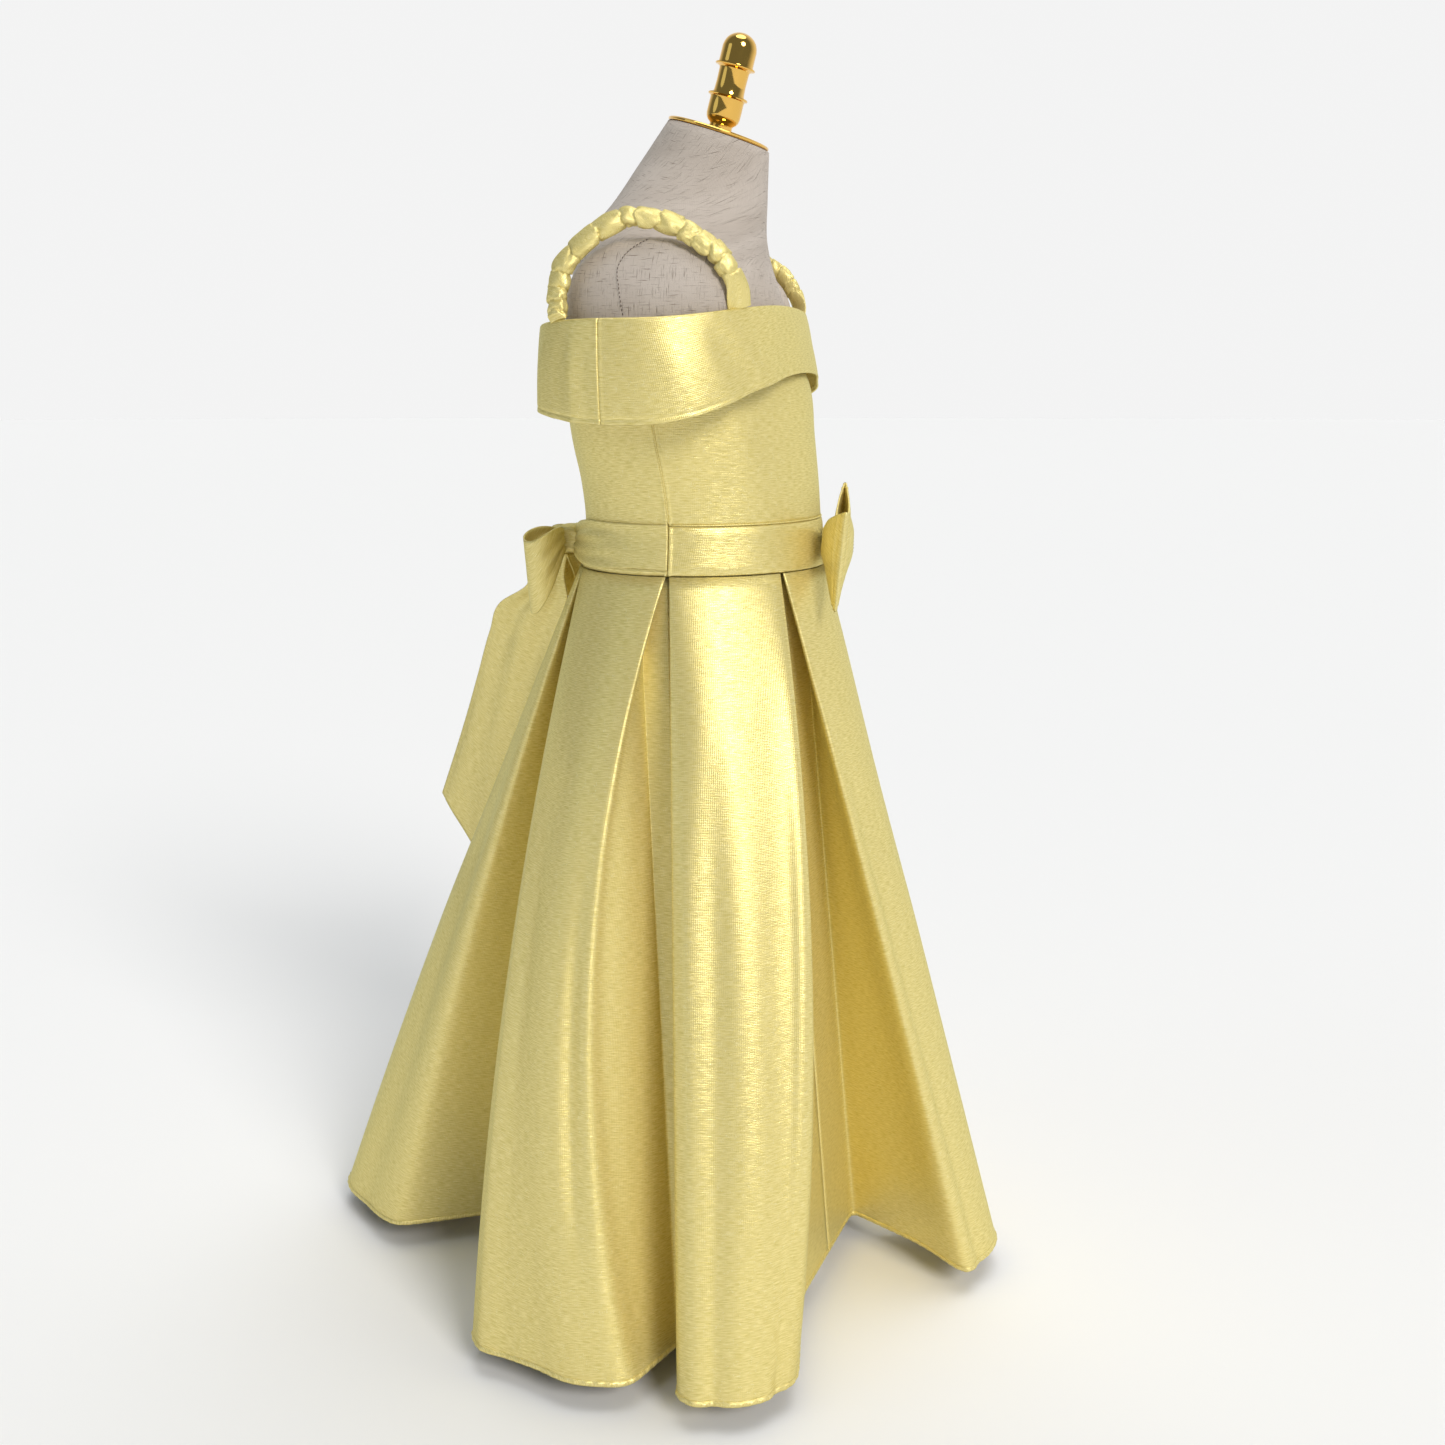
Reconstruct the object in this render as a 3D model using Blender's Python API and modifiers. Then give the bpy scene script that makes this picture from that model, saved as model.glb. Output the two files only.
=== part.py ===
"""Child's full-length party dress in yellow satin, worn by a limbless linen dress form on a stand.

Metres, +Z up. The origin is the centre of the base plate's underside, on the pole's axis. The dress
faces -Y and the wearer's right side is at -X. An azimuth is in degrees round the Z axis: 0 at the
centre front, 90 at the wearer's right side, 180 at the centre back, 270 at the wearer's left side.
"""

import math
from collections import namedtuple

import bmesh
import bpy
import numpy as np
from mathutils import Matrix

# Cloth
CLOTH = 0.0012
SEAM_GAP = 0.0003
SEAM_PULL = 0.00028

# Heights of the dress
HEM_HEIGHT = 0.018
PLEAT_HEM_HEIGHT = 0.019
SKIRT_TOP = 0.5237
WAIST_SEAM = 0.5243
WAISTBAND_TOP = 0.5560
UNDERARM_HEIGHT = 0.6400
NECKLINE_HEIGHT = 0.6680

# Outer face of the bodice and the waistband: one row for each level
DressRow = namedtuple("DressRow", "height half_width front back")
DRESS_ROWS = (
    DressRow(0.5240, 0.1005, -0.0950, 0.0716),
    DressRow(0.5560, 0.0975, -0.0918, 0.0686),
    DressRow(0.5790, 0.0990, -0.0902, 0.0709),
    DressRow(0.6100, 0.1035, -0.0870, 0.0770),
    DressRow(0.6450, 0.1065, -0.0830, 0.0810),
    DressRow(0.6700, 0.1055, -0.0725, 0.0815),
)

# Linen dress form: one row for each section, the last ones sloping down to the front by tilt
FormRow = namedtuple("FormRow", "height half_width front back tilt")
FORM_ROWS = (
    FormRow(0.4000, 0.0800, -0.0750, 0.0550, 0.00),
    FormRow(0.4060, 0.0845, -0.0795, 0.0590, 0.00),
    FormRow(0.4600, 0.0880, -0.0835, 0.0605, 0.00),
    FormRow(0.5150, 0.0905, -0.0855, 0.0625, 0.00),
    FormRow(0.5450, 0.0930, -0.0875, 0.0642, 0.00),
    FormRow(0.5800, 0.0948, -0.0860, 0.0668, 0.00),
    FormRow(0.6100, 0.1018, -0.0853, 0.0753, 0.00),
    FormRow(0.6400, 0.1028, -0.0785, 0.0775, 0.00),
    FormRow(0.6700, 0.1010, -0.0685, 0.0770, 0.00),
    FormRow(0.6880, 0.1010, -0.0670, 0.0770, 0.00),
    FormRow(0.7120, 0.0990, -0.0615, 0.0740, 0.06),
    FormRow(0.7330, 0.0890, -0.0560, 0.0660, 0.14),
    FormRow(0.7510, 0.0660, -0.0535, 0.0500, 0.21),
    FormRow(0.7765, 0.0420, -0.0545, 0.0322, 0.28),
    FormRow(0.8065, 0.0345, -0.0555, 0.0112, 0.32),
)
FORM_SIDES = 28
ARM_CAP_CENTRE = (0.0960, 0.0000, 0.6797)
ARM_CAP_RADII = (0.0320, 0.0540, 0.0543)
ARM_CAP_SQUARENESS = 2.3
ARM_CAP_UNDERSIDE = 0.0355
ARM_CAP_RINGS = 13
ARM_CAP_SIDES = 20
ARM_CAP_END = 8.0

# Neck plate, finial and stand
NECK_PLATE_CENTRE = (0.0, -0.0220, 0.8083)
NECK_PLATE_RADII = (0.0345, 0.0350)
NECK_PLATE_THICKNESS = 0.0026
NECK_TILT = math.radians(17.7)
FINIAL_TILT = math.radians(15.0)
FINIAL_LIFT = 0.0007
FINIAL_PROFILE = (
    (0.0000, 0.0625),
    (0.0040, 0.0619),
    (0.0079, 0.0598),
    (0.0104, 0.0566),
    (0.0115, 0.0524),
    (0.0115, 0.0428),
    (0.0132, 0.0416),
    (0.0132, 0.0404),
    (0.0102, 0.0390),
    (0.0100, 0.0300),
    (0.0106, 0.0236),
    (0.0132, 0.0224),
    (0.0132, 0.0212),
    (0.0114, 0.0200),
    (0.0114, 0.0094),
    (0.0098, 0.0056),
    (0.0076, 0.0040),
    (0.0076, 0.0000),
    (0.0000, 0.0000),
)
POLE_RADIUS = 0.0125
BASE_RADIUS = 0.0980
BASE_THICKNESS = 0.0100
BASE_CHAMFER = 0.0020

# Skirt at the waist seam: the middle of its outermost layer of cloth, and the pleats' folds
SKIRT_WAIST = DressRow(SKIRT_TOP, 0.1015, -0.0960, 0.0730)
LAYER_PITCH = 0.0024
FLANK = math.radians(16.0)
FOLD_MEETING = math.radians(0.6)
WAIST_FOLD_ROUND = 0.0030
HEM_FOLD_ROUND = 0.0180

# One row for each inverted box pleat. At the hem its two fold edges, a and b, and its floor have an
# azimuth and a distance from the pole; floor_half is half the floor's width. Belly is how far an edge
# stands out at half height from the straight line, sway how far it leans towards higher azimuths, and
# a_swell how far the hem of flank a bulges towards its panel.
Pleat = namedtuple(
    "Pleat",
    "waist_az a_az a_r a_belly a_sway a_swell floor_az floor_r floor_half b_az b_r b_belly b_sway",
)
PLEATS = (
    Pleat(37, 5.4, 0.212, 0.002, 0.000, 0.012, 7, 0.108, 0.066, 57.4, 0.212, 0.022, -0.008),
    Pleat(90, 78.8, 0.218, 0.006, 0.000, 0.000, 77, 0.160, 0.007, 87.0, 0.208, 0.010, 0.034),
    Pleat(150, 121.6, 0.208, 0.012, 0.004, 0.004, 158, 0.130, 0.048, 168.0, 0.225, 0.008, 0.000),
    Pleat(210, 203.0, 0.268, 0.008, 0.000, 0.006, 216, 0.140, 0.044, 239.0, 0.210, 0.012, 0.000),
    Pleat(270, 261.5, 0.212, 0.010, -0.012, 0.000, 268, 0.158, 0.008, 280.0, 0.216, 0.006, 0.000),
    Pleat(323, 301.0, 0.218, 0.018, 0.006, 0.004, 318, 0.136, 0.050, 336.0, 0.222, 0.006, 0.000),
)

# One row for each panel, the one that ends at the pleat of the same place in the table above: how far
# the middle of its hem stands out from the line between its two fold edges, how far it stands out at
# half height, and how far a dent pulls the middle of the hem back in
Panel = namedtuple("Panel", "crown belly dent")
PANELS = (
    Panel(0.018, 0.000, 0.000),
    Panel(0.018, 0.010, 0.000),
    Panel(0.017, 0.012, 0.010),
    Panel(0.058, 0.006, 0.000),
    Panel(0.020, 0.012, 0.008),
    Panel(0.024, 0.010, 0.000),
)
PANEL_SHARES = (0.25, 0.5, 0.75)
BACK_PANEL = 3
FLOOR_GUIDE = 7
SKIRT_LEVELS = (0.0, 0.03, 0.08, 0.15, 0.24, 0.34, 0.45, 0.56, 0.67, 0.78, 0.89, 1.0)

# Collar: a band folded over at the top that stands off the arm caps. Half width, front and back of
# its top fold and of its lower edge, and their heights at the centre front, side and centre back
CollarEdge = namedtuple("CollarEdge", "half_width front back z_front z_side z_back")
COLLAR_TOP = CollarEdge(0.1440, -0.0752, 0.0853, 0.6950, 0.6830, 0.6810)
COLLAR_LOW = CollarEdge(0.1465, -0.0850, 0.0890, 0.6530, 0.6200, 0.6345)
COLLAR_SQUARENESS = 2.45
COLLAR_FOLD_RADIUS = 0.0015
COLLAR_BULGE = 0.0010
COLLAR_INNER_LEG = 0.0210
COLLAR_LEG_CUT = 0.6
COLLAR_COLUMNS = 48

# Ruched shoulder strap: a gathered casing from the collar's top fold behind the arm cap to the fold in
# front of it. Points on its middle line over the wearer's right shoulder, back to front
STRAP_WIDTH = 0.0135
STRAP_THICKNESS = 0.0092
STRAP_END_THICKNESS = 0.0036
STRAP_RUFFLES = 16
STRAP_SIDES = 8
RUFFLE_SWELL = 0.24
RUFFLE_SLANT = 0.8
STRAP_FLAT_SHARE = 0.08
STRAP_BACK_AZ = 120.0
STRAP_FRONT_AZ = 40.0
STRAP_SEAT = 0.0013
STRAP_FACING = 0.030
StrapPoint = namedtuple("StrapPoint", "x y z")
STRAP_ROUTE = (
    StrapPoint(-0.1215, 0.0512, 0.7022),
    StrapPoint(-0.1190, 0.0463, 0.7183),
    StrapPoint(-0.1155, 0.0290, 0.7352),
    StrapPoint(-0.1115, 0.0061, 0.7450),
    StrapPoint(-0.1085, -0.0215, 0.7385),
    StrapPoint(-0.1075, -0.0440, 0.7243),
    StrapPoint(-0.1050, -0.0568, 0.7065),
)

# Sash ties, back bow and tails
SASH_TOP = 0.5570
SASH_LOW = 0.5275
SASH_END_AZ = 175.3
SASH_KNOT_HEIGHT = 0.5390
SASH_OUT = 0.0012
SASH_LIFT = 0.0083
KNOT_CENTRE = (0.0, 0.0850, 0.5390)
KNOT_SIZE = (0.0200, 0.0170, 0.0210)
LOOP_CLEARANCE = 0.0014
LOOP_BEHIND = 0.0040
Loop = namedtuple("Loop", "name side axis_x axis_y length swell drop half_height tilt")
BACK_LOOPS = (
    Loop("back_bow_loop_right", -1, -0.84, 0.54, 0.028, 0.0070, 0.025, 0.0260, 0.10),
    Loop("back_bow_loop_left", 1, 0.84, 0.54, 0.031, 0.0070, 0.023, 0.0240, 0.10),
)
# Tails: one row for each level, with the middle of the ribbon, the heading of its width and its width
TailRow = namedtuple("TailRow", "height x y heading width")
TAIL_CUT = 0.062
TAIL_LEVEL_POWER = 1.5
TAILS = {
    "back_tail_left": (
        TailRow(0.5282, 0.0000, 0.1000, 90.0, 0.0234),
        TailRow(0.5110, 0.0060, 0.1060, 84.0, 0.0280),
        TailRow(0.4966, 0.0090, 0.1070, 80.0, 0.0330),
        TailRow(0.4766, 0.0227, 0.1248, 74.0, 0.0540),
        TailRow(0.4450, 0.0398, 0.1413, 69.0, 0.0570),
        TailRow(0.3947, 0.0590, 0.1620, 66.0, 0.0550),
        TailRow(0.3533, 0.0680, 0.1754, 64.0, 0.0560),
        TailRow(0.2615, 0.0820, 0.2050, 61.0, 0.0560),
    ),
    "back_tail_right": (
        TailRow(0.5282, 0.0030, 0.0850, 0.0, 0.0234),
        TailRow(0.5110, 0.0240, 0.0855, 2.0, 0.0320),
        TailRow(0.4950, 0.0460, 0.0880, -6.0, 0.0460),
        TailRow(0.4500, 0.0710, 0.0985, -30.0, 0.0600),
        TailRow(0.3900, 0.0940, 0.1060, -40.0, 0.0740),
        TailRow(0.3000, 0.1130, 0.1200, -42.0, 0.0780),
    ),
}

# Front bow: two stiff loops, its wings, and a stone-set band round the middle
Wing = namedtuple("Wing", "name side reach outer_y lean z_low z_high swell")
FRONT_WINGS = (
    Wing("front_bow_wing_right", -1, 0.050, -0.1154, -0.0032, 0.4981, 0.5636, 0.0085),
    Wing("front_bow_wing_left", 1, 0.050, -0.1003, -0.0020, 0.5050, 0.5780, 0.0035),
)
WING_HALF_GAP = 0.0026
WING_ROOT_X = 0.0078
WING_ROOT_Y = -0.1060
WING_ROOT_HALF_HEIGHT = 0.0090
BAND_CENTRE = (0.0, -0.1053, 0.5400)
BAND_SIZE = (0.0140, 0.0206, 0.0230)

Look = namedtuple("Look", "colour roughness metallic")
LOOKS = {
    "satin": Look((0.78, 0.66, 0.22, 1.0), 0.36, 0.0),
    "linen": Look((0.56, 0.51, 0.45, 1.0), 0.90, 0.0),
    "gold": Look((0.90, 0.62, 0.18, 1.0), 0.12, 1.0),
    "steel": Look((0.55, 0.55, 0.56, 1.0), 0.35, 1.0),
    "silver": Look((0.80, 0.80, 0.82, 1.0), 0.20, 1.0),
}


for old in list(bpy.data.objects):
    bpy.data.objects.remove(old, do_unlink=True)

part = bpy.data.collections.new("childs_satin_party_dress")
bpy.context.scene.collection.children.link(part)
helpers = bpy.data.collections.new("cutters")
helpers.hide_render = True
bpy.context.scene.collection.children.link(helpers)


def material(name):
    """The finish of that name, made once."""
    found = bpy.data.materials.get(name)
    if found:
        return found
    look = LOOKS[name]
    made = bpy.data.materials.new(name)
    made.use_nodes = True
    shader = made.node_tree.nodes["Principled BSDF"]
    shader.inputs["Base Color"].default_value = look.colour
    shader.inputs["Roughness"].default_value = look.roughness
    shader.inputs["Metallic"].default_value = look.metallic
    return made


def keep(name, mesh, finish, collection=part):
    """An object for this mesh, in its collection, with its finish and smooth shading."""
    obj = bpy.data.objects.new(name, mesh)
    collection.objects.link(obj)
    mesh.materials.append(material(finish))
    mesh.shade_smooth()
    return obj


def grid_mesh(name, points):
    """An open surface through a grid of points, rows by columns, as quads."""
    rows, columns = points.shape[:2]
    index = np.arange(rows * columns).reshape(rows, columns)
    quads = np.stack([index[:-1, :-1], index[:-1, 1:], index[1:, 1:], index[1:, :-1]], axis=-1)
    mesh = bpy.data.meshes.new(name)
    mesh.from_pydata(points.reshape(-1, 3).tolist(), [], quads.reshape(-1, 4).tolist())
    return mesh


def closed_loft(name, rings):
    """A closed mesh through rings of points, rows by points round, with flat ends."""
    bm = bmesh.new()
    bm.from_mesh(grid_mesh(name, np.concatenate([rings, rings[:, :1]], axis=1)))
    bmesh.ops.remove_doubles(bm, verts=bm.verts, dist=0.00001)
    bmesh.ops.holes_fill(bm, edges=[edge for edge in bm.edges if edge.is_boundary], sides=0)
    bmesh.ops.recalc_face_normals(bm, faces=bm.faces)
    mesh = bpy.data.meshes.new(name)
    bm.to_mesh(mesh)
    bm.free()
    return mesh


def shell(name, points, finish, thickness=CLOTH, offset=0.0):
    """A wall of cloth about a grid of points: offset -1 keeps the grid as its face along the normals."""
    obj = keep(name, grid_mesh(name, points), finish)
    wall = obj.modifiers.new("wall", "SOLIDIFY")
    wall.thickness = thickness
    wall.offset = offset
    wall.use_even_offset = False
    return obj


def through(stations, values, at):
    """A smooth curve through values at rising stations: cubic pieces with central slopes."""
    stations = np.asarray(stations, float)
    values = np.asarray(values, float)
    slopes = np.gradient(values, stations)
    at = np.clip(np.asarray(at, float), stations[0], stations[-1])
    piece = np.clip(np.searchsorted(stations, at) - 1, 0, len(stations) - 2)
    span = stations[piece + 1] - stations[piece]
    f = (at - stations[piece]) / span
    return (
        (2 * f**3 - 3 * f**2 + 1) * values[piece]
        + (f**3 - 2 * f**2 + f) * span * slopes[piece]
        + (3 * f**2 - 2 * f**3) * values[piece + 1]
        + (f**3 - f**2) * span * slopes[piece + 1]
    )


def around(half_width, front, back, azimuth, squareness=2.0):
    """x and y on an oval given by its half width and by where it crosses the centre line. It is an
    ellipse at squareness 2 and fuller at its corners above that."""
    middle = (front + back) / 2
    depth = (back - front) / 2
    across = np.sin(np.radians(azimuth))
    ahead = np.cos(np.radians(azimuth))
    across = np.sign(across) * np.abs(across) ** (2 / squareness)
    ahead = np.sign(ahead) * np.abs(ahead) ** (2 / squareness)
    return -half_width * across, middle - depth * ahead


def dress_point(azimuth, height, out=0.0):
    """A point on the outer face of the bodice or waistband, moved out by that much."""
    heights = [row.height for row in DRESS_ROWS]
    half_width = through(heights, [row.half_width for row in DRESS_ROWS], height)
    front = through(heights, [row.front for row in DRESS_ROWS], height)
    back = through(heights, [row.back for row in DRESS_ROWS], height)
    x, y = around(half_width + out, front - out, back + out, azimuth)
    return np.stack(np.broadcast_arrays(x, y, height), axis=-1)


def seam_azimuths(start, end, count):
    """Azimuths of a piece's columns, drawn in at both ends so that seams have their gap."""
    pull = math.degrees(SEAM_PULL / DRESS_ROWS[0].half_width)
    return np.linspace(start + pull, end - pull, count)


def polar(azimuth, radius):
    """A place in plan from its azimuth and its distance from the pole."""
    angle = math.radians(azimuth)
    return np.array([-radius * math.sin(angle), -radius * math.cos(angle)])


def unit(vector):
    """The same direction at length 1."""
    return vector / np.linalg.norm(vector)


def waist_place(angle, layer):
    """A place in plan on the waist seam, on that layer of cloth counted inwards from 0."""
    inward = layer * LAYER_PITCH
    return np.array(
        around(
            SKIRT_WAIST.half_width - inward,
            SKIRT_WAIST.front + inward,
            SKIRT_WAIST.back - inward,
            math.degrees(angle),
        )
    )


Guide = namedtuple("Guide", "waist hem hem_height belly sway")


def pleat_guides(pleat, panel_before, panel_after):
    """The guides of one pleat in order: fold a, its flank, the floor, the other flank and fold b."""
    middle = math.radians(pleat.waist_az)
    step = WAIST_FOLD_ROUND / SKIRT_WAIST.half_width
    edge_a = polar(pleat.a_az, pleat.a_r)
    edge_b = polar(pleat.b_az, pleat.b_r)
    floor = polar(pleat.floor_az, pleat.floor_r)
    heading = math.radians(pleat.floor_az)
    along = np.array([-math.cos(heading), math.sin(heading)])
    deep_a = floor - along * pleat.floor_half
    deep_b = floor + along * pleat.floor_half
    belly_a, belly_b = pleat.a_belly, pleat.b_belly
    sway_a, sway_b = pleat.a_sway, pleat.b_sway
    floor_round = min(HEM_FOLD_ROUND, 0.6 * pleat.floor_half)

    def fold(edge, panel_place, deep, angle, side, belly, sway):
        """Three guides round a fold edge, from the panel's side to the flank's."""
        near_panel = edge + HEM_FOLD_ROUND * unit(panel_place - edge)
        near_flank = edge + HEM_FOLD_ROUND * unit(deep - edge)
        back = angle + side * step
        return [
            Guide(waist_place(back, 0), near_panel, HEM_HEIGHT, belly, sway),
            Guide(waist_place(angle, 0.5), edge, HEM_HEIGHT, belly, sway),
            Guide(waist_place(back, 1), near_flank, HEM_HEIGHT, belly, sway),
        ]

    def deep_fold(deep, edge, angle, side):
        """Three guides round a fold at the back of the pleat, from the flank to the floor."""
        near_flank = deep + floor_round * unit(edge - deep)
        near_floor = deep + floor_round * unit(floor - deep)
        front = angle - side * step
        return [
            Guide(waist_place(front, 1), near_flank, PLEAT_HEM_HEIGHT, 0.0, 0.0),
            Guide(waist_place(angle, 1.5), deep, PLEAT_HEM_HEIGHT, 0.0, 0.0),
            Guide(waist_place(front, 2), near_floor, PLEAT_HEM_HEIGHT, 0.0, 0.0),
        ]

    def flank(edge, deep, panel_place, angle, belly, sway, swell):
        """One guide in the middle of a flank, pushed by its swell towards the panel."""
        halfway = (HEM_HEIGHT + PLEAT_HEM_HEIGHT) / 2
        middle_place = (edge + deep) / 2
        middle_place = middle_place + swell * unit(panel_place - middle_place)
        return [Guide(waist_place(angle, 1), middle_place, halfway, belly / 2, sway / 2)]

    a_angle = middle - FOLD_MEETING
    b_angle = middle + FOLD_MEETING
    guides = fold(edge_a, panel_before, deep_a, a_angle, -1, belly_a, sway_a)
    guides += flank(
        edge_a, deep_a, panel_before, middle - FLANK / 2, belly_a, sway_a, pleat.a_swell
    )
    guides += deep_fold(deep_a, edge_a, middle - FLANK, -1)
    guides += [Guide(waist_place(middle, 2), floor, PLEAT_HEM_HEIGHT, 0.0, 0.0)]
    guides += deep_fold(deep_b, edge_b, middle + FLANK, 1)[::-1]
    guides += flank(edge_b, deep_b, panel_after, middle + FLANK / 2, belly_b, sway_b, 0.0)
    guides += fold(edge_b, panel_after, deep_b, b_angle, 1, belly_b, sway_b)[::-1]
    return guides


def panel_place(index, share):
    """A place on the hem of the panel that ends at that pleat, at that share of its width."""
    before = PLEATS[index - 1]
    after = PLEATS[index]
    start = polar(before.b_az, before.b_r)
    end = polar(after.a_az, after.a_r)
    chord = unit(end - start)
    outward = np.array([-chord[1], chord[0]])
    if outward @ (start + end) < 0:
        outward = -outward
    panel = PANELS[index]
    out = panel.crown * 4 * share * (1 - share) - panel.dent * max(0, 1 - abs(4 * share - 2))
    return start + (end - start) * share + outward * out


def panel_guides(index):
    """Guides across the panel that ends at that pleat, leaning as its two fold edges do."""
    before = PLEATS[index - 1]
    after = PLEATS[index]
    start = before.waist_az + math.degrees(FOLD_MEETING)
    width = (after.waist_az - math.degrees(FOLD_MEETING) - start) % 360
    return [
        Guide(
            waist_place(math.radians(start + width * share), 0),
            panel_place(index, share),
            HEM_HEIGHT,
            PANELS[index].belly,
            before.b_sway + (after.a_sway - before.b_sway) * share,
        )
        for share in PANEL_SHARES
    ]


def skirt_guides():
    """All guides round the skirt, from the centre front panel's first to its last."""
    guides = []
    for index, pleat in enumerate(PLEATS):
        guides += panel_guides(index)
        guides += pleat_guides(
            pleat, panel_place(index, 0.75), panel_place((index + 1) % len(PLEATS), 0.25)
        )
    return guides


def skirt_guide_points(levels):
    """Each guide's place at each level, 0 at the waist seam and 1 at the hem, as rows by guides."""
    guides = skirt_guides()
    waist = np.array([guide.waist for guide in guides])
    hem = np.array([guide.hem for guide in guides])
    level = np.asarray(levels, float)[:, None, None]
    bow = 4 * level * (1 - level)
    outward = hem / np.linalg.norm(hem, axis=1, keepdims=True)
    sideways = np.stack([outward[:, 1], -outward[:, 0]], axis=1)
    belly = np.array([guide.belly for guide in guides])[:, None]
    sway = np.array([guide.sway for guide in guides])[:, None]
    plan = waist + (hem - waist) * level + bow * (outward * belly + sideways * sway)
    low = np.array([guide.hem_height for guide in guides])[None, :]
    height = SKIRT_TOP + (low - SKIRT_TOP) * level[:, :, 0]
    return np.concatenate([plan, height[:, :, None]], axis=2)


def along_guides(guide_points, stations):
    """A closed cubic B-spline along each row of guides, read at stations counted in guides."""
    count = guide_points.shape[1]
    stations = np.asarray(stations, float)
    first = np.floor(stations).astype(int)
    f = (stations - first)[None, :, None]
    before, here, after, later = (guide_points[:, (first + k) % count] for k in (-1, 0, 1, 2))
    return (
        (1 - f) ** 3 * before
        + (3 * f**3 - 6 * f**2 + 4) * here
        + (-3 * f**3 + 3 * f**2 + 3 * f + 1) * after
        + f**3 * later
    ) / 6


def seam_pulled(points):
    """The piece's two end columns drawn in along the cloth so that seams have their gap."""
    for end, inner in ((0, 1), (-1, -2)):
        step = points[:, inner] - points[:, end]
        points[:, end] += SEAM_PULL * step / np.linalg.norm(step, axis=1, keepdims=True)
    return points


def skirt_piece(name, start, end):
    """A piece of skirt between two stations, read at its guides and, across panels, between them."""
    block = len(skirt_guides()) // len(PLEATS)
    guides = np.arange(math.floor(start) + 1, math.ceil(end))
    between = [guide - 0.5 for guide in guides if guide % block <= len(PANEL_SHARES)]
    inner = np.unique(np.concatenate([guides, between]))
    stations = np.concatenate([[start], inner[inner > start], [end]])
    points = along_guides(skirt_guide_points(SKIRT_LEVELS), stations)
    return shell(name, seam_pulled(points), "satin")


def bodice_top(azimuth):
    """Height of the bodice's top edge: level at front and back, dropping under each arm."""
    drop = np.clip(np.abs(np.sin(np.radians(azimuth))), 0, 1)
    share = np.clip((drop - 0.55) / 0.40, 0, 1)
    ease = share * share * (3 - 2 * share)
    return NECKLINE_HEIGHT + (UNDERARM_HEIGHT - NECKLINE_HEIGHT) * ease


def bodice_piece(name, start, end, low):
    """A bodice panel from its waist edge up to the neckline, with the wall inside its outer face."""
    azimuth = seam_azimuths(start, end, round((end - start) / 7.5) + 1)
    above_waist = WAISTBAND_TOP + SEAM_GAP
    share = np.linspace(0, 1, 5)[:, None]
    height = above_waist + (bodice_top(azimuth) - above_waist) * share
    if low < above_waist:
        waist = np.linspace(low, above_waist, 3)[:-1, None] * np.ones_like(azimuth)
        height = np.concatenate([waist, height])
    return shell(name, dress_point(azimuth[None, :], height)[:, ::-1], "satin", CLOTH, -1.0)


def waistband_front():
    """The flat band across the front between the side seams."""
    azimuth = seam_azimuths(-90, 90, 25)
    height = np.linspace(WAIST_SEAM, WAISTBAND_TOP, 3)[:, None]
    points = dress_point(azimuth[None, :], height, 0.0006)
    return shell("waistband_front", points[:, ::-1], "satin", 0.0020, -1.0)


def sash(name, side):
    """A tie from the side seam to the knot: it narrows and leaves the back as it nears the knot."""
    azimuth = np.linspace(90.4, SASH_END_AZ, 13)
    share = (azimuth - azimuth[0]) / (azimuth[-1] - azimuth[0])
    late = np.clip((share - 0.55) / 0.45, 0, 1) ** 2
    middle = (SASH_TOP + SASH_LOW) / 2
    half = (SASH_TOP - SASH_LOW) / 2 * (1 - 0.45 * late)
    across = np.linspace(-1, 1, 4)[:, None]
    height = middle + (SASH_KNOT_HEIGHT - middle) * late + half * across
    points = dress_point(azimuth[None, :], height, SASH_OUT + SASH_LIFT * late)
    points[..., 0] *= side
    return shell(name, points if side < 0 else points[:, ::-1], "satin")


def collar_profile(azimuth, share):
    """A point of the collar's wall: share 0 to 1 runs down its outer leg, and below 0 it runs round
    the top fold and down the inner leg."""
    swing = np.sin(np.radians(azimuth)) ** 2
    behind = np.cos(np.radians(azimuth)) < 0
    z_top = np.where(behind, COLLAR_TOP.z_back, COLLAR_TOP.z_front)
    z_low = np.where(behind, COLLAR_LOW.z_back, COLLAR_LOW.z_front)
    z_top = z_top + (COLLAR_TOP.z_side - z_top) * swing
    z_low = z_low + (COLLAR_LOW.z_side - z_low) * swing
    down = np.clip(share, 0, 1)
    bulge = COLLAR_BULGE * np.sin(np.pi * down)
    half = COLLAR_TOP.half_width + (COLLAR_LOW.half_width - COLLAR_TOP.half_width) * down + bulge
    front = COLLAR_TOP.front + (COLLAR_LOW.front - COLLAR_TOP.front) * down - bulge
    back = COLLAR_TOP.back + (COLLAR_LOW.back - COLLAR_TOP.back) * down + bulge
    turn = np.clip(-share, 0, 1) * math.pi
    inward = COLLAR_FOLD_RADIUS * (1 - np.cos(turn))
    lift = COLLAR_FOLD_RADIUS * np.sin(turn)
    leg = np.clip(-share - 1, 0, 1) * COLLAR_INNER_LEG * (1 - COLLAR_LEG_CUT * swing)
    x, y = around(half - inward, front + inward, back - inward, azimuth, COLLAR_SQUARENESS)
    fold_height = z_top - COLLAR_FOLD_RADIUS
    z = fold_height + (z_low - fold_height) * down + lift - leg
    return np.stack(np.broadcast_arrays(x, y, z), axis=-1)


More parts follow.
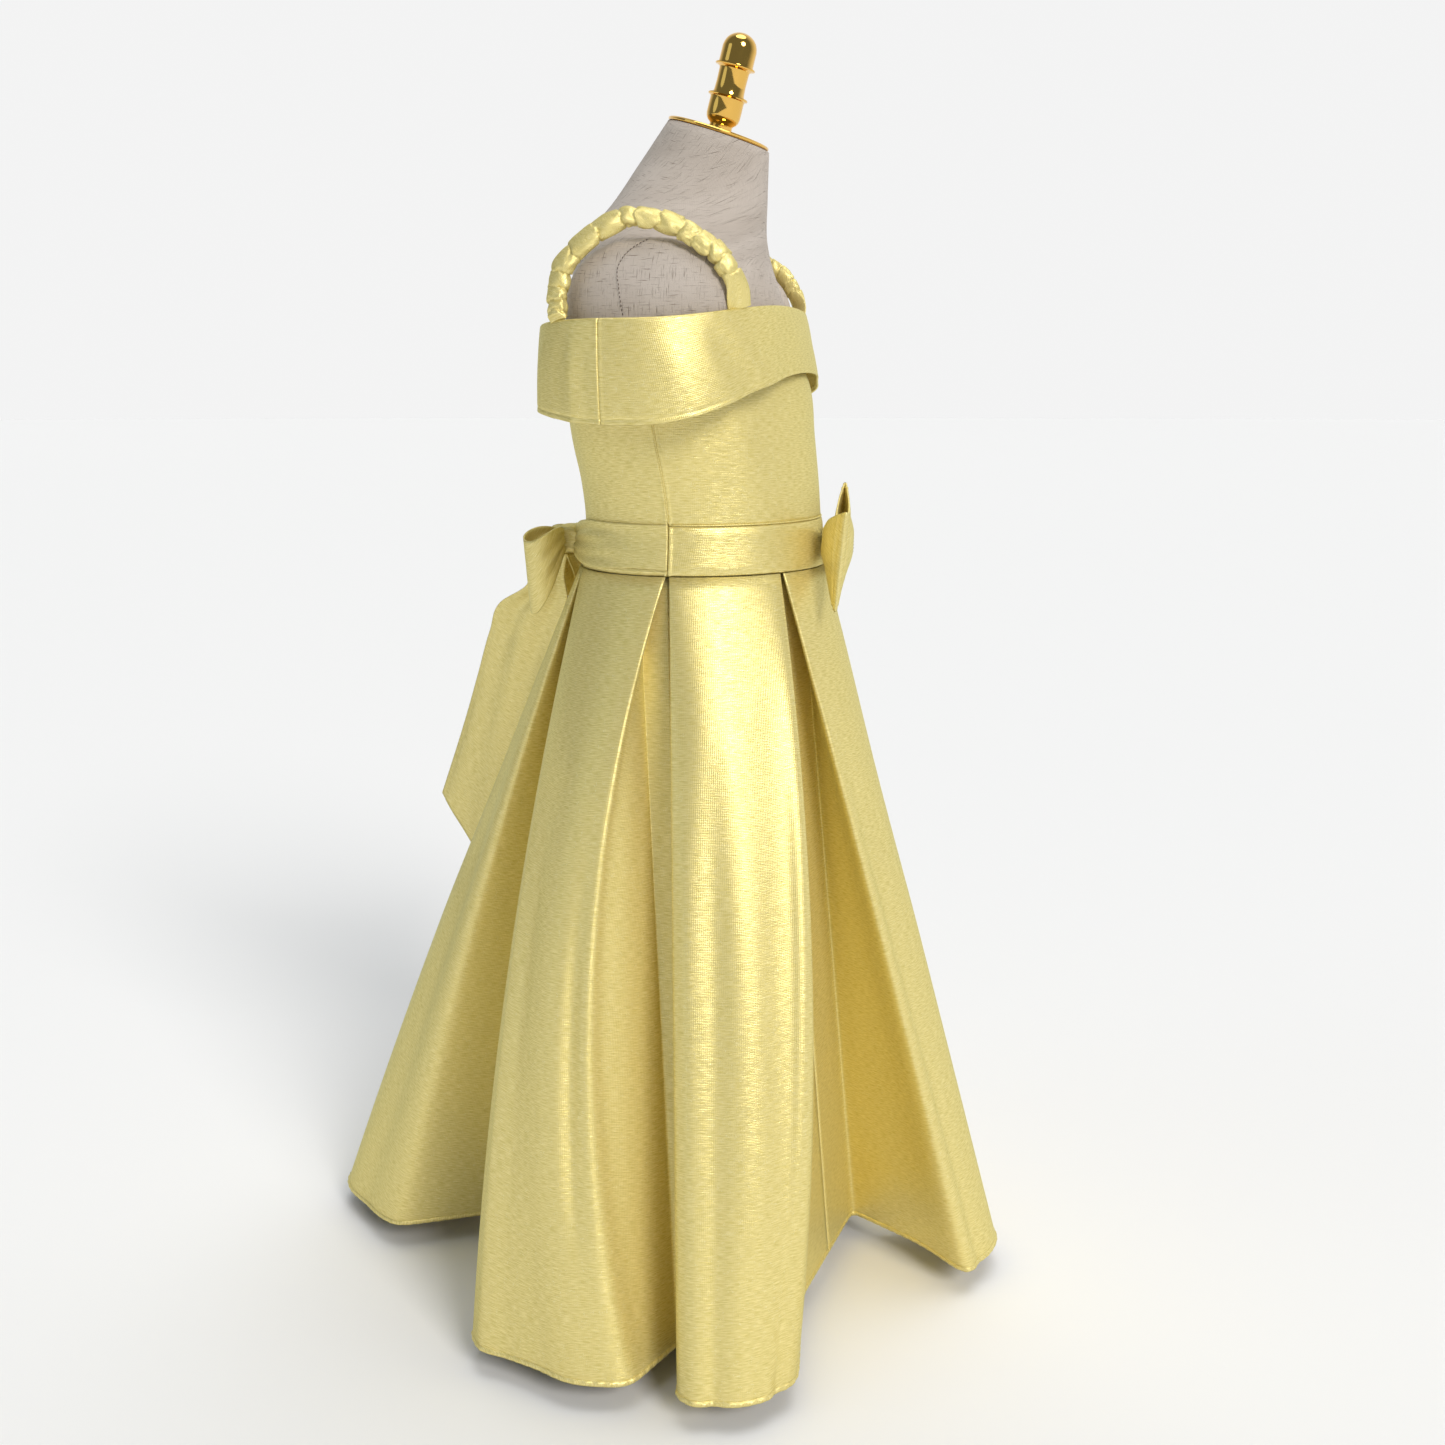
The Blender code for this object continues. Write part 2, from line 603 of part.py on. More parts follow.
def collar_piece(name, start, end):
    """A piece of the folded collar between two seams."""
    count = round((end - start) / 360 * COLLAR_COLUMNS) + 1
    pull = math.degrees(SEAM_PULL / COLLAR_TOP.half_width)
    azimuth = np.linspace(start + pull, end - pull, count)
    share = np.array([-2.0, -1.0, -0.67, -0.33, 0.0, 0.33, 0.67, 1.0])[:, None]
    return shell(name, collar_profile(azimuth[None, :], share)[::-1, ::-1], "satin")


def strap_frame(share):
    """Middle line and two cross directions of the right strap at shares of its length."""
    seat = np.array([0.0, 0.0, STRAP_SEAT])
    route = np.array(
        [
            collar_profile(STRAP_BACK_AZ, -0.5) + seat,
            *STRAP_ROUTE,
            collar_profile(STRAP_FRONT_AZ, -0.5) + seat,
        ]
    )
    stations = np.linspace(0, 1, len(route))

    def place(at):
        return np.stack([through(stations, route[:, axis], at) for axis in range(3)], axis=-1)

    middle = place(share)
    ahead = place(np.clip(share + 0.01, 0, 1)) - place(np.clip(share - 0.01, 0, 1))
    ahead /= np.linalg.norm(ahead, axis=-1, keepdims=True)
    from_cap = middle - np.array([-STRAP_FACING, ARM_CAP_CENTRE[1], ARM_CAP_CENTRE[2]])
    from_cap -= ahead * np.sum(from_cap * ahead, axis=-1, keepdims=True)
    out = from_cap / np.linalg.norm(from_cap, axis=-1, keepdims=True)
    return middle, out, np.cross(ahead, out)


def strap(name, side):
    """A ruched strap: an oval casing over the shoulder that swells and pinches in ruffles."""
    share = np.linspace(0, 1, STRAP_RUFFLES * 4 + 1)
    middle, out, across = (found[:, None] for found in strap_frame(share))
    turn = (np.arange(STRAP_SIDES) + 0.5) * 2 * np.pi / STRAP_SIDES
    full = np.clip((1 - STRAP_FLAT_SHARE - share) / STRAP_FLAT_SHARE, 0, 1)[:, None]
    phase = 2 * np.pi * STRAP_RUFFLES * share[:, None] + RUFFLE_SLANT * np.cos(turn)
    wave = RUFFLE_SWELL * full * np.sin(phase)
    thickness = STRAP_END_THICKNESS + (STRAP_THICKNESS - STRAP_END_THICKNESS) * full
    half_width = STRAP_WIDTH / 2 * (1 + 0.5 * wave)
    half_thickness = thickness / 2 * (1 + wave)
    rings = (
        middle
        + across * (half_width * np.cos(turn))[:, :, None]
        + out * (half_thickness * np.sin(turn))[:, :, None]
    )
    for end in (0, -1):
        rings[end, :, 2] = middle[end, 0, 2]
    rings[..., 0] *= side
    return keep(name, closed_loft(name, rings), "satin")


def bow_loop(loop):
    """A soft loop of the back bow: it leaves the knot, swells, folds back and returns to it."""
    share = np.linspace(0, 1, 19)
    out = np.sin(np.pi * share)
    aside = np.sin(2 * np.pi * share)
    axis = unit(np.array([loop.axis_x, loop.axis_y]))
    normal = np.array([axis[1], -axis[0]])
    root = np.array([loop.side * (KNOT_SIZE[0] / 2 + LOOP_CLEARANCE), KNOT_CENTRE[1] + LOOP_BEHIND])
    spread = 0.0030 * np.cos(np.pi * share) + loop.swell * aside
    plan = root + axis * loop.length * out[:, None] + normal * spread[:, None]
    across = np.linspace(-1, 1, 4)[:, None]
    half = KNOT_SIZE[2] / 2 * 0.7 * (1 - out) + loop.half_height * out
    height = KNOT_CENTRE[2] - loop.drop * out**1.5 + half * across
    lean = loop.tilt * half * across
    points = np.stack(
        np.broadcast_arrays(plan[:, 0] + axis[0] * lean, plan[:, 1] + axis[1] * lean, height), axis=-1
    )
    return shell(loop.name, points[:, ::-1], "satin")


def tail(name, rows):
    """A hanging end of the sash: a ribbon that widens and turns as it falls, with a slanted cut."""
    heights = [row.height for row in rows][::-1]
    fallen = np.linspace(0, 1, 15) ** TAIL_LEVEL_POWER
    level = rows[0].height + (rows[-1].height - rows[0].height) * fallen
    x, y, heading, width = (
        through(heights, [getattr(row, field) for row in rows][::-1], level)[:, None]
        for field in ("x", "y", "heading", "width")
    )
    heading = np.radians(heading)
    across = np.linspace(-0.5, 0.5, 4)[None, :]
    cut = TAIL_CUT * (across + 0.5) * fallen[:, None]
    points = np.stack(
        [
            x + width * across * np.cos(heading),
            y + width * across * np.sin(heading),
            level[:, None] + cut,
        ],
        axis=-1,
    )
    return shell(name, points, "satin")


def front_wing(wing):
    """A stiff wing of the front bow: a flat loop whose two layers meet in a pressed fold at its outer
    end, which leans to the front at its top."""
    share = np.linspace(0, 1, 17)
    reach = 1 - np.abs(1 - 2 * share)
    across = np.linspace(-1, 1, 5)[:, None]
    puff = wing.swell * 4 * reach * (1 - reach) * (1 - 0.5 * across**2) * (1 + 0.4 * across)
    gap = np.sign(0.5 - share) * (WING_HALF_GAP * (1 - reach) + puff)
    x = WING_ROOT_X + (wing.reach - WING_ROOT_X) * reach
    outer_y = wing.outer_y + wing.lean * across
    y = WING_ROOT_Y + (outer_y - WING_ROOT_Y) * reach**1.4 + gap
    middle = BAND_CENTRE[2] + ((wing.z_low + wing.z_high) / 2 - BAND_CENTRE[2]) * reach
    half = WING_ROOT_HALF_HEIGHT + ((wing.z_high - wing.z_low) / 2 - WING_ROOT_HALF_HEIGHT) * reach
    points = np.stack(
        np.broadcast_arrays((wing.side * x)[None, :], y, middle + half * across), axis=-1
    )
    return shell(wing.name, points, "satin")


def rounded_block(name, centre, size, finish):
    """A small pillow: a block with all its edges rounded."""
    bm = bmesh.new()
    bmesh.ops.create_cube(bm, size=1.0, matrix=Matrix.Diagonal((*size, 1.0)))
    mesh = bpy.data.meshes.new(name)
    bm.to_mesh(mesh)
    bm.free()
    obj = keep(name, mesh, finish)
    obj.location = centre
    edge = obj.modifiers.new("rounding", "BEVEL")
    edge.width = min(size) * 0.38
    edge.segments = 2
    return obj


def disc(name, radii, thickness, finish, sides):
    """An oval disc about its own centre, lying flat."""
    bm = bmesh.new()
    bmesh.ops.create_cone(
        bm,
        cap_ends=True,
        segments=sides,
        radius1=1.0,
        radius2=1.0,
        depth=thickness,
        matrix=Matrix.Diagonal((radii[0], radii[1], 1.0, 1.0)),
    )
    mesh = bpy.data.meshes.new(name)
    bm.to_mesh(mesh)
    bm.free()
    obj = keep(name, mesh, finish)
    mesh.set_sharp_from_angle(angle=math.radians(40))
    return obj


def turned(name, profile, finish, steps=16):
    """A turned piece: its profile, radius and height from top to bottom, carried round the Z axis."""
    mesh = bpy.data.meshes.new(name)
    edges = [(i, i + 1) for i in range(len(profile) - 1)]
    mesh.from_pydata([(radius, 0.0, height) for radius, height in profile], edges, [])
    obj = keep(name, mesh, finish)
    screw = obj.modifiers.new("turning", "SCREW")
    screw.axis = "Z"
    screw.steps = steps
    screw.render_steps = steps
    screw.use_merge_vertices = True
    screw.merge_threshold = 0.00005
    screw.use_smooth_shade = True
    return obj


def form_torso():
    """The linen torso: a closed loft through its sections, joined with two rounded arm caps."""
    azimuth = np.arange(FORM_SIDES) * 360 / FORM_SIDES
    rings = []
    for row in FORM_ROWS:
        x, y = around(row.half_width, row.front, row.back, azimuth)
        rings.append(np.stack([x, y, row.height + row.tilt * (y - (row.front + row.back) / 2)], -1))
    torso = keep("form_torso", closed_loft("form_torso", np.array(rings)), "linen")
    for side in (-1, 1):
        turn = np.radians(np.linspace(ARM_CAP_END, 180 - ARM_CAP_END, ARM_CAP_RINGS))[:, None]
        reach, depth, rise = ARM_CAP_RADII
        size = np.sin(turn)
        y, z = around(
            depth * size,
            -ARM_CAP_UNDERSIDE * size,
            rise * size,
            np.arange(ARM_CAP_SIDES) * 360 / ARM_CAP_SIDES,
            ARM_CAP_SQUARENESS,
        )
        rings = np.stack(np.broadcast_arrays(-reach * np.cos(turn), y, z), axis=-1)
        cutter = keep("arm_cap_shape", closed_loft("arm_cap", rings), "linen", helpers)
        cutter.location = (side * ARM_CAP_CENTRE[0], ARM_CAP_CENTRE[1], ARM_CAP_CENTRE[2])
        cutter.hide_render = True
        cutter.display_type = "WIRE"
        union = torso.modifiers.new("arm_cap", "BOOLEAN")
        union.operation = "UNION"
        union.object = cutter
    return torso


def stand():
    """Neck plate, finial, pole and base plate."""
    plate = disc("neck_plate", NECK_PLATE_RADII, NECK_PLATE_THICKNESS, "gold", 32)
    plate.location = NECK_PLATE_CENTRE
    plate.rotation_euler.x = NECK_TILT
    finial = turned("finial", FINIAL_PROFILE, "gold")
    reach = NECK_PLATE_THICKNESS / 2 + FINIAL_LIFT
    finial.location = (
        0.0,
        NECK_PLATE_CENTRE[1] - reach * math.sin(NECK_TILT),
        NECK_PLATE_CENTRE[2] + reach * math.cos(NECK_TILT),
    )
    finial.rotation_euler.x = FINIAL_TILT
    base = disc("base_plate", (BASE_RADIUS, BASE_RADIUS), BASE_THICKNESS, "steel", 40)
    base.location.z = BASE_THICKNESS / 2
    edge = base.modifiers.new("chamfer", "BEVEL")
    edge.width = BASE_CHAMFER
    edge.segments = 1
    edge.limit_method = "ANGLE"
    pole_low = BASE_THICKNESS + SEAM_GAP
    pole_length = FORM_ROWS[0].height - SEAM_GAP - pole_low
    pole = disc("pole", (POLE_RADIUS, POLE_RADIUS), pole_length, "steel", 20)
    pole.location.z = pole_low + pole_length / 2


def dress():
    """Every piece of the dress."""
    bodice_piece("bodice_front", -90, 90, WAISTBAND_TOP + SEAM_GAP)
    bodice_piece("bodice_back_right", 90, 180, WAIST_SEAM)
    bodice_piece("bodice_back_left", 180, 270, WAIST_SEAM)
    waistband_front()
    sash("sash_right", 1)
    sash("sash_left", -1)
    collar_piece("collar_front", -97, 97)
    collar_piece("collar_back_right", 97, 180)
    collar_piece("collar_back_left", 180, 263)
    strap("strap_right", 1)
    strap("strap_left", -1)
    rounded_block("back_bow_knot", KNOT_CENTRE, KNOT_SIZE, "satin")
    for loop in BACK_LOOPS:
        bow_loop(loop)
    for name, rows in TAILS.items():
        tail(name, rows)
    for wing in FRONT_WINGS:
        front_wing(wing)
    rounded_block("front_bow_band", BAND_CENTRE, BAND_SIZE, "silver")
    count = len(skirt_guides())
    block = count // len(PLEATS)
    floors = [block * index + len(PANEL_SHARES) + FLOOR_GUIDE for index in range(len(PLEATS))]
    centre_back = block * BACK_PANEL + len(PANEL_SHARES) // 2
    skirt_piece("skirt_front", floors[5], floors[0] + count)
    skirt_piece("skirt_right_front", floors[0], floors[1])
    skirt_piece("skirt_right_back", floors[1], floors[2])
    skirt_piece("skirt_back_right", floors[2], centre_back)
    skirt_piece("skirt_back_left", centre_back, floors[3])
    skirt_piece("skirt_left_back", floors[3], floors[4])
    skirt_piece("skirt_left_front", floors[4], floors[5])


form_torso()
stand()
dress()
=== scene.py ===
"""A child's full-length party dress in pale yellow shimmer satin, worn by a linen dress form.

Metres, +Z up. The front of the dress is at -Y and the wearer's right side at -X. An azimuth is in
degrees round the Z axis: 0 at the centre front, 90 at the wearer's right side, 180 at the centre back.
"""

import math
from collections import namedtuple

import bmesh
import bpy
import numpy as np
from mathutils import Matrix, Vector


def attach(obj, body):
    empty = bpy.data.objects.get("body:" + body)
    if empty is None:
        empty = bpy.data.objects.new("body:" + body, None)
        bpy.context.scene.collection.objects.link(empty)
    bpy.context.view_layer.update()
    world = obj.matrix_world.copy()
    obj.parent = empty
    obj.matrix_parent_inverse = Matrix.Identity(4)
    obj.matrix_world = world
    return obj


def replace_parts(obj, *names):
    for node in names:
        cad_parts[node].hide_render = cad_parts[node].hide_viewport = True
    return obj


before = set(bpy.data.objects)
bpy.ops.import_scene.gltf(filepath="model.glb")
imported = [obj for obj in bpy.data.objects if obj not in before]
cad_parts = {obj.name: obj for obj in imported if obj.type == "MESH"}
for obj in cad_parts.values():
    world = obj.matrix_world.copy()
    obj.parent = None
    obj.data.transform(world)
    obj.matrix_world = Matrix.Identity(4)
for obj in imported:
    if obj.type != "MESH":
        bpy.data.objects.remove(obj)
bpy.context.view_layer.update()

# The viewpoint: a little above the waist, on the wearer's right, turned 13 degrees to the front and
# looking 11 degrees down. The lens takes in the dress from finial to hem.
CAMERA_PLACE = (-1.115, -0.282, 0.635)
CAMERA_TURN = math.radians(13.0)
CAMERA_DOWN = math.radians(11.1)
SENSOR_WIDTH = 36.0
FOCAL_PIXELS, PICTURE_PIXELS = 1643.0, 1445.0

scene = bpy.context.scene
lens = bpy.data.cameras.new("camera")
lens.sensor_width = SENSOR_WIDTH
lens.lens = SENSOR_WIDTH * FOCAL_PIXELS / PICTURE_PIXELS
camera = bpy.data.objects.new("camera", lens)
scene.collection.objects.link(camera)
camera.location = CAMERA_PLACE
flat = math.cos(CAMERA_DOWN)
ahead = Vector((math.cos(CAMERA_TURN) * flat, math.sin(CAMERA_TURN) * flat, -math.sin(CAMERA_DOWN)))
camera.rotation_euler = ahead.to_track_quat("-Z", "Y").to_euler()
bpy.context.scene.camera = camera

# The floor is a pale disc, wide enough that its rim is out of sight. The room is a white backdrop
# behind the dress that grows dim behind the viewer, with broad soft lamps: a key one at the viewer's
# right shoulder, a cool weak one on the left, and one high up.
FLOOR_RADIUS = 60.0
ROOM_DIM = (0.165, 0.185, 0.195)
ROOM_WHITE = (0.90, 0.90, 0.90)
ROOM_FADE = (0.52, 0.88)
Lamp = namedtuple("Lamp", "name place colour angle strength")
LAMPS = (
    Lamp("key_lamp", (-1.15, -1.05, 0.95), (1.0, 0.965, 0.93), 22.0, 2.15),
    Lamp("left_lamp", (-1.1, 1.5, 0.70), (0.80, 0.93, 1.0), 30.0, 0.14),
    Lamp("high_lamp", (0.1, -0.2, 1.6), (1.0, 1.0, 1.0), 40.0, 1.05),
)


def node(tree, kind, out, values=None, **settings):
    """The named or numbered output of a new shader node, with its settings and the values or links of
    its inputs."""
    made = tree.nodes.new("ShaderNode" + kind)
    for name, value in settings.items():
        setattr(made, name, value)
    for name, value in (values or {}).items():
        if isinstance(value, bpy.types.NodeSocket):
            tree.links.new(value, made.inputs[name])
        else:
            made.inputs[name].default_value = value
    return made.outputs[out]


def ramp(tree, value, first, last, places=(0.0, 1.0)):
    """A colour that goes from the first to the last as a value goes from one place to the other."""
    made = tree.nodes.new("ShaderNodeValToRGB")
    tree.links.new(value, made.inputs["Fac"])
    for stop, place, colour in zip(made.color_ramp.elements, places, (first, last)):
        stop.position, stop.color = place, (*colour, 1.0)
    return made.outputs["Color"]


def bump(tree, height, strength, distance, below=None):
    """The surface's direction with that height raised on it, on top of an earlier bump."""
    values = {"Height": height, "Strength": strength, "Distance": distance}
    return node(tree, "Bump", "Normal", values if below is None else {**values, "Normal": below})


def speckle(tree, scale):
    """Noise of that scale on the object's own coordinates."""
    return node(tree, "TexNoise", "Fac", {"Vector": node(tree, "TexCoord", "Object"), "Scale": scale})


def finish(name, colour, values):
    """A material with that colour and those values on its shader. Gives it, its tree, and a function
    that feeds an input of the shader from a node."""
    made = bpy.data.materials.new(name)
    made.use_nodes = True
    tree = made.node_tree
    inputs = tree.nodes["Principled BSDF"].inputs
    inputs["Base Color"].default_value = (*colour, 1.0)
    for socket, value in values.items():
        inputs[socket].default_value = value
    return made, tree, lambda socket, value: tree.links.new(value, inputs[socket])


def turns(count):
    """That many angles, spread evenly round a circle."""
    return np.arange(count) * 2 * np.pi / count


world = bpy.data.worlds.new("room")
world.use_nodes = True
tree = world.node_tree
towards = node(tree, "SeparateXYZ", "X", {"Vector": node(tree, "TexCoord", "Generated")})
share = node(tree, "MapRange", "Result", {"Value": towards, "From Min": -1.0})
backdrop = tree.nodes["Background"].inputs
tree.links.new(ramp(tree, share, ROOM_DIM, ROOM_WHITE, ROOM_FADE), backdrop["Color"])
backdrop["Strength"].default_value = 1.0
scene.world = world
scene.view_settings.view_transform = "Standard"
for lamp in LAMPS:
    light = bpy.data.lights.new(lamp.name, "SUN")
    light.angle = math.radians(lamp.angle)
    light.energy = lamp.strength
    light.color = lamp.colour
    hung = bpy.data.objects.new(lamp.name, light)
    scene.collection.objects.link(hung)
    hung.location = lamp.place
    hung.rotation_euler = (-Vector(lamp.place)).to_track_quat("-Z", "Y").to_euler()

paper, tree, feed = finish("pale_floor", (0.86, 0.86, 0.86), {"Roughness": 0.9})
mottle = node(tree, "TexNoise", "Fac", {"Scale": 3.0, "Detail": 2.0})
feed("Base Color", ramp(tree, mottle, (0.85, 0.85, 0.85), (0.88, 0.88, 0.88)))
rim = turns(64)
disc = np.stack([np.cos(rim), np.sin(rim), 0 * rim], axis=1) * FLOOR_RADIUS
floor_mesh = bpy.data.meshes.new("floor")
floor_mesh.from_pydata(disc.tolist(), [], [list(range(len(rim)))])
floor_mesh.materials.append(paper)
floor = bpy.data.objects.new("floor", floor_mesh)
scene.collection.objects.link(floor)

# The dress form: a padded torso without limbs, covered in greige slubbed linen. Its arm caps are
# domed pads in the same linen, sewn on round a seam with a row of hand stitches.
FormRow = namedtuple("FormRow", "height half_width front back tilt")
FORM_ROWS = (
    FormRow(0.4000, 0.0800, -0.0750, 0.0550, 0.00),
    FormRow(0.4060, 0.0845, -0.0795, 0.0590, 0.00),
    FormRow(0.4600, 0.0880, -0.0835, 0.0605, 0.00),
    FormRow(0.5150, 0.0905, -0.0855, 0.0625, 0.00),
    FormRow(0.5450, 0.0930, -0.0875, 0.0642, 0.00),
    FormRow(0.5800, 0.0948, -0.0860, 0.0668, 0.00),
    FormRow(0.6100, 0.1018, -0.0853, 0.0753, 0.00),
    FormRow(0.6400, 0.1028, -0.0785, 0.0775, 0.00),
    FormRow(0.6700, 0.1010, -0.0685, 0.0770, 0.00),
    FormRow(0.6880, 0.1010, -0.0670, 0.0770, 0.00),
    FormRow(0.7120, 0.0990, -0.0615, 0.0740, 0.06),
    FormRow(0.7330, 0.0890, -0.0560, 0.0660, 0.14),
    FormRow(0.7510, 0.0660, -0.0535, 0.0500, 0.21),
    FormRow(0.7765, 0.0420, -0.0545, 0.0322, 0.28),
    FormRow(0.8065, 0.0345, -0.0555, 0.0112, 0.32),
)
ARM_CAP_CENTRE = (0.0960, 0.0000, 0.6797)
ARM_CAP_RADII = (0.0320, 0.0540, 0.0543)
ARM_CAP_SQUARENESS = 2.3
ARM_CAP_UNDERSIDE = 0.0355
SEAM_CORD = 0.0006
STITCH_PITCH = 0.0026
STITCH_SIZE = (0.00095, 0.00032, 0.00032)
# The seam over the crown of the cap: heights and places from the back to the front of the form
CROWN_SEAM = ((0.6850, 0.0080), (0.7020, 0.0110), (0.7150, 0.0125), (0.7260, 0.0060), (0.7320, -0.0020))


def piece(name, mesh, look):
    """An object for a mesh with its material, riding on the only body, at the origin."""
    obj = bpy.data.objects.new(name, mesh)
    scene.collection.objects.link(obj)
    mesh.materials.append(look)
    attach(obj, "root")
    return obj


def grid(x, y, z):
    """Points from their x, y and z, spread to one shape."""
    return np.stack(np.broadcast_arrays(x, y, z), axis=-1)


def unit(vectors):
    """The same directions at length 1."""
    return vectors / np.linalg.norm(vectors, axis=-1, keepdims=True)


def run_along(path):
    """The distance along a path to each of its points."""
    return np.cumsum(np.linalg.norm(np.diff(path, axis=0, prepend=path[:1]), axis=1))


def points_at(spots, path):
    """Points of a path at those distances along it."""
    return np.stack([np.interp(spots, run_along(path), path[:, axis]) for axis in range(3)], axis=1)


def bell(distance, width):
    """1 at no distance, falling off both ways as a bell curve of that width."""
    return np.exp(-((distance / width) ** 2))


def ease(value, start, end):
    """0 below start and 1 above end, with a smooth step between them."""
    share = np.clip((value - start) / (end - start), 0, 1)
    return share * share * (3 - 2 * share)


def powered(value, power):
    """That power of a value's size, with its sign kept."""
    return np.sign(value) * np.abs(value) ** power


def surface(name, points, joined=False):
    """A smooth mesh of quads through a grid of points, rows by columns. Where joined, the last column
    meets the first. The UV map holds metres: u along each row from its middle, v down each column."""
    rows, columns = points.shape[:2]
    net = np.concatenate([points, points[:, :1]], axis=1) if joined else points
    index = np.arange(rows * columns).reshape(rows, columns)
    index = np.concatenate([index, index[:, :1]], axis=1) if joined else index
    u = np.cumsum(np.linalg.norm(np.diff(net, axis=1, prepend=net[:, :1]), axis=2), axis=1)
    v = np.cumsum(np.linalg.norm(np.diff(net, axis=0, prepend=net[:1]), axis=2), axis=0)
    u = u - u[:, net.shape[1] // 2, None]

    def corners(values):
        return np.stack([values[:-1, :-1], values[:-1, 1:], values[1:, 1:], values[1:, :-1]], axis=-1)

    mesh = bpy.data.meshes.new(name)
    mesh.from_pydata(points.reshape(-1, 3).tolist(), [], corners(index).reshape(-1, 4).tolist())
    places = np.stack([corners(u), corners(v)], axis=-1)
    mesh.uv_layers.new(name="cloth").data.foreach_set("uv", places.astype(np.float32).ravel())
    mesh.shade_smooth()
    return mesh


def closed(mesh):
    """The same mesh with its doubles merged, its open ends filled and its faces turned outwards."""
    bm = bmesh.new()
    bm.from_mesh(mesh)
    bmesh.ops.remove_doubles(bm, verts=bm.verts, dist=0.00001)
    bmesh.ops.holes_fill(bm, edges=[edge for edge in bm.edges if edge.is_boundary], sides=0)
    bmesh.ops.recalc_face_normals(bm, faces=bm.faces)
    bm.to_mesh(mesh)
    bm.free()
    mesh.shade_smooth()
    return mesh


def lump(name, rings, look):
    """A closed piece through a stack of rings of points."""
    return piece(name, closed(surface(name, rings, joined=True)), look)


def through(stations, values, at):
    """A smooth curve through values at rising stations: cubic pieces with central slopes."""
    stations = np.asarray(stations, float)
    values = np.asarray(values, float)
    slopes = np.gradient(values, stations)
    at = np.clip(np.asarray(at, float), stations[0], stations[-1])
    part = np.clip(np.searchsorted(stations, at) - 1, 0, len(stations) - 2)
    span = stations[part + 1] - stations[part]
    f = (at - stations[part]) / span
    return (
        (2 * f**3 - 3 * f**2 + 1) * values[part]
        + (f**3 - 2 * f**2 + f) * span * slopes[part]
        + (3 * f**2 - 2 * f**3) * values[part + 1]
        + (f**3 - f**2) * span * slopes[part + 1]
    )


def around(half_width, front, back, azimuth, squareness=2.0):
    """x and y on an oval given by its half width and by where it crosses the centre line: sine and
    cosine of the azimuth to the power 2 / squareness, so it is an ellipse at squareness 2."""
    across = powered(np.sin(np.radians(azimuth)), 2 / squareness)
    forward = powered(np.cos(np.radians(azimuth)), 2 / squareness)
    return -half_width * across, (front + back) / 2 - (back - front) / 2 * forward


def table_at(rows, field, at):
    """One field of a table of rows, read at heights between them."""
    return through([row.height for row in rows], [getattr(row, field) for row in rows], at)


def oval_at(rows, height):
    """Half width, front and back of the oval at a height, read from a table of rows."""
    return [table_at(rows, field, height) for field in ("half_width", "front", "back")]


def form_grid(heights, azimuth):
    """Points on the torso: ovals through the rows of the table, the upper ones sloping to the front."""
    wide, front, back = oval_at(FORM_ROWS, heights)
    x, y = around(wide, front, back, azimuth)
    return grid(x, y, heights + table_at(FORM_ROWS, "tilt", heights) * (y - (front + back) / 2))


def outside_form(points):
    """Above 0 where a point is outside the torso: its squared distance from the axis over the oval's
    at that height, less 1. The height is first taken back down the slope of the upper rows."""
    level = points[..., 2]
    for _ in range(3):
        _, front, back = oval_at(FORM_ROWS, level)
        middle = (front + back) / 2
        level = points[..., 2] - table_at(FORM_ROWS, "tilt", level) * (points[..., 1] - middle)
    wide, front, back = oval_at(FORM_ROWS, level)
    return (points[..., 0] / wide) ** 2 + ((points[..., 1] - middle) / ((back - front) / 2)) ** 2 - 1


def arm_cap_points(turn, lean):
    """Points on an arm cap: lean from its outermost point, turn round its long axis. Its section is an
    oval of squareness 2.3, fuller above than below."""
    size = np.sin(lean)
    low, high = -ARM_CAP_UNDERSIDE * size, ARM_CAP_RADII[2] * size
    y, z = around(ARM_CAP_RADII[1] * size, low, high, np.degrees(turn), ARM_CAP_SQUARENESS)
    return np.array(ARM_CAP_CENTRE) + grid(ARM_CAP_RADII[0] * np.cos(lean), y, z)


def from_the_side(mesh):
    """The same mesh with its UVs set to y and z in metres, as for cloth laid on it from the side."""
    index = np.empty(len(mesh.loops), np.int32)
    mesh.loops.foreach_get("vertex_index", index)
    places = np.empty(len(mesh.vertices) * 3, np.float32)
    mesh.vertices.foreach_get("co", places)
    mesh.uv_layers["cloth"].data.foreach_set("uv", places.reshape(-1, 3)[index][:, 1:].ravel())
    return mesh


def scattered(name, places, frames, shape, faces):
    """One mesh of many copies of a small shape: each is turned by its frame and moved to its place."""
    points = np.einsum("vk,nkj->nvj", shape, frames) + places[:, None]
    index = faces[None] + (np.arange(len(places)) * len(shape))[:, None, None]
    mesh = bpy.data.meshes.new(name)
    mesh.from_pydata(points.reshape(-1, 3).tolist(), [], index.reshape(-1, faces.shape[1]).tolist())
    return mesh


def small_ball(sizes):
    """The corners and faces of an icosahedron drawn out to those half sizes."""
    bm = bmesh.new()
    bmesh.ops.create_icosphere(bm, subdivisions=1, radius=1.0)
    points = np.array([vertex.co for vertex in bm.verts]) * np.array(sizes)
    faces = np.array([[vertex.index for vertex in face.verts] for face in bm.faces])
    bm.free()
    return points, faces


def cord(path, along, away, radius):
    """A round cord: a circle of that radius carried along a path and square to it. Away is any
    direction that points off the path."""
    along = unit(along)
    away = unit(away - along * np.sum(away * along, axis=1, keepdims=True))
    turn = turns(8)[:, None]
    ring = away[:, None] * np.cos(turn) + np.cross(along, away)[:, None] * np.sin(turn)
    return path[:, None] + ring * radius


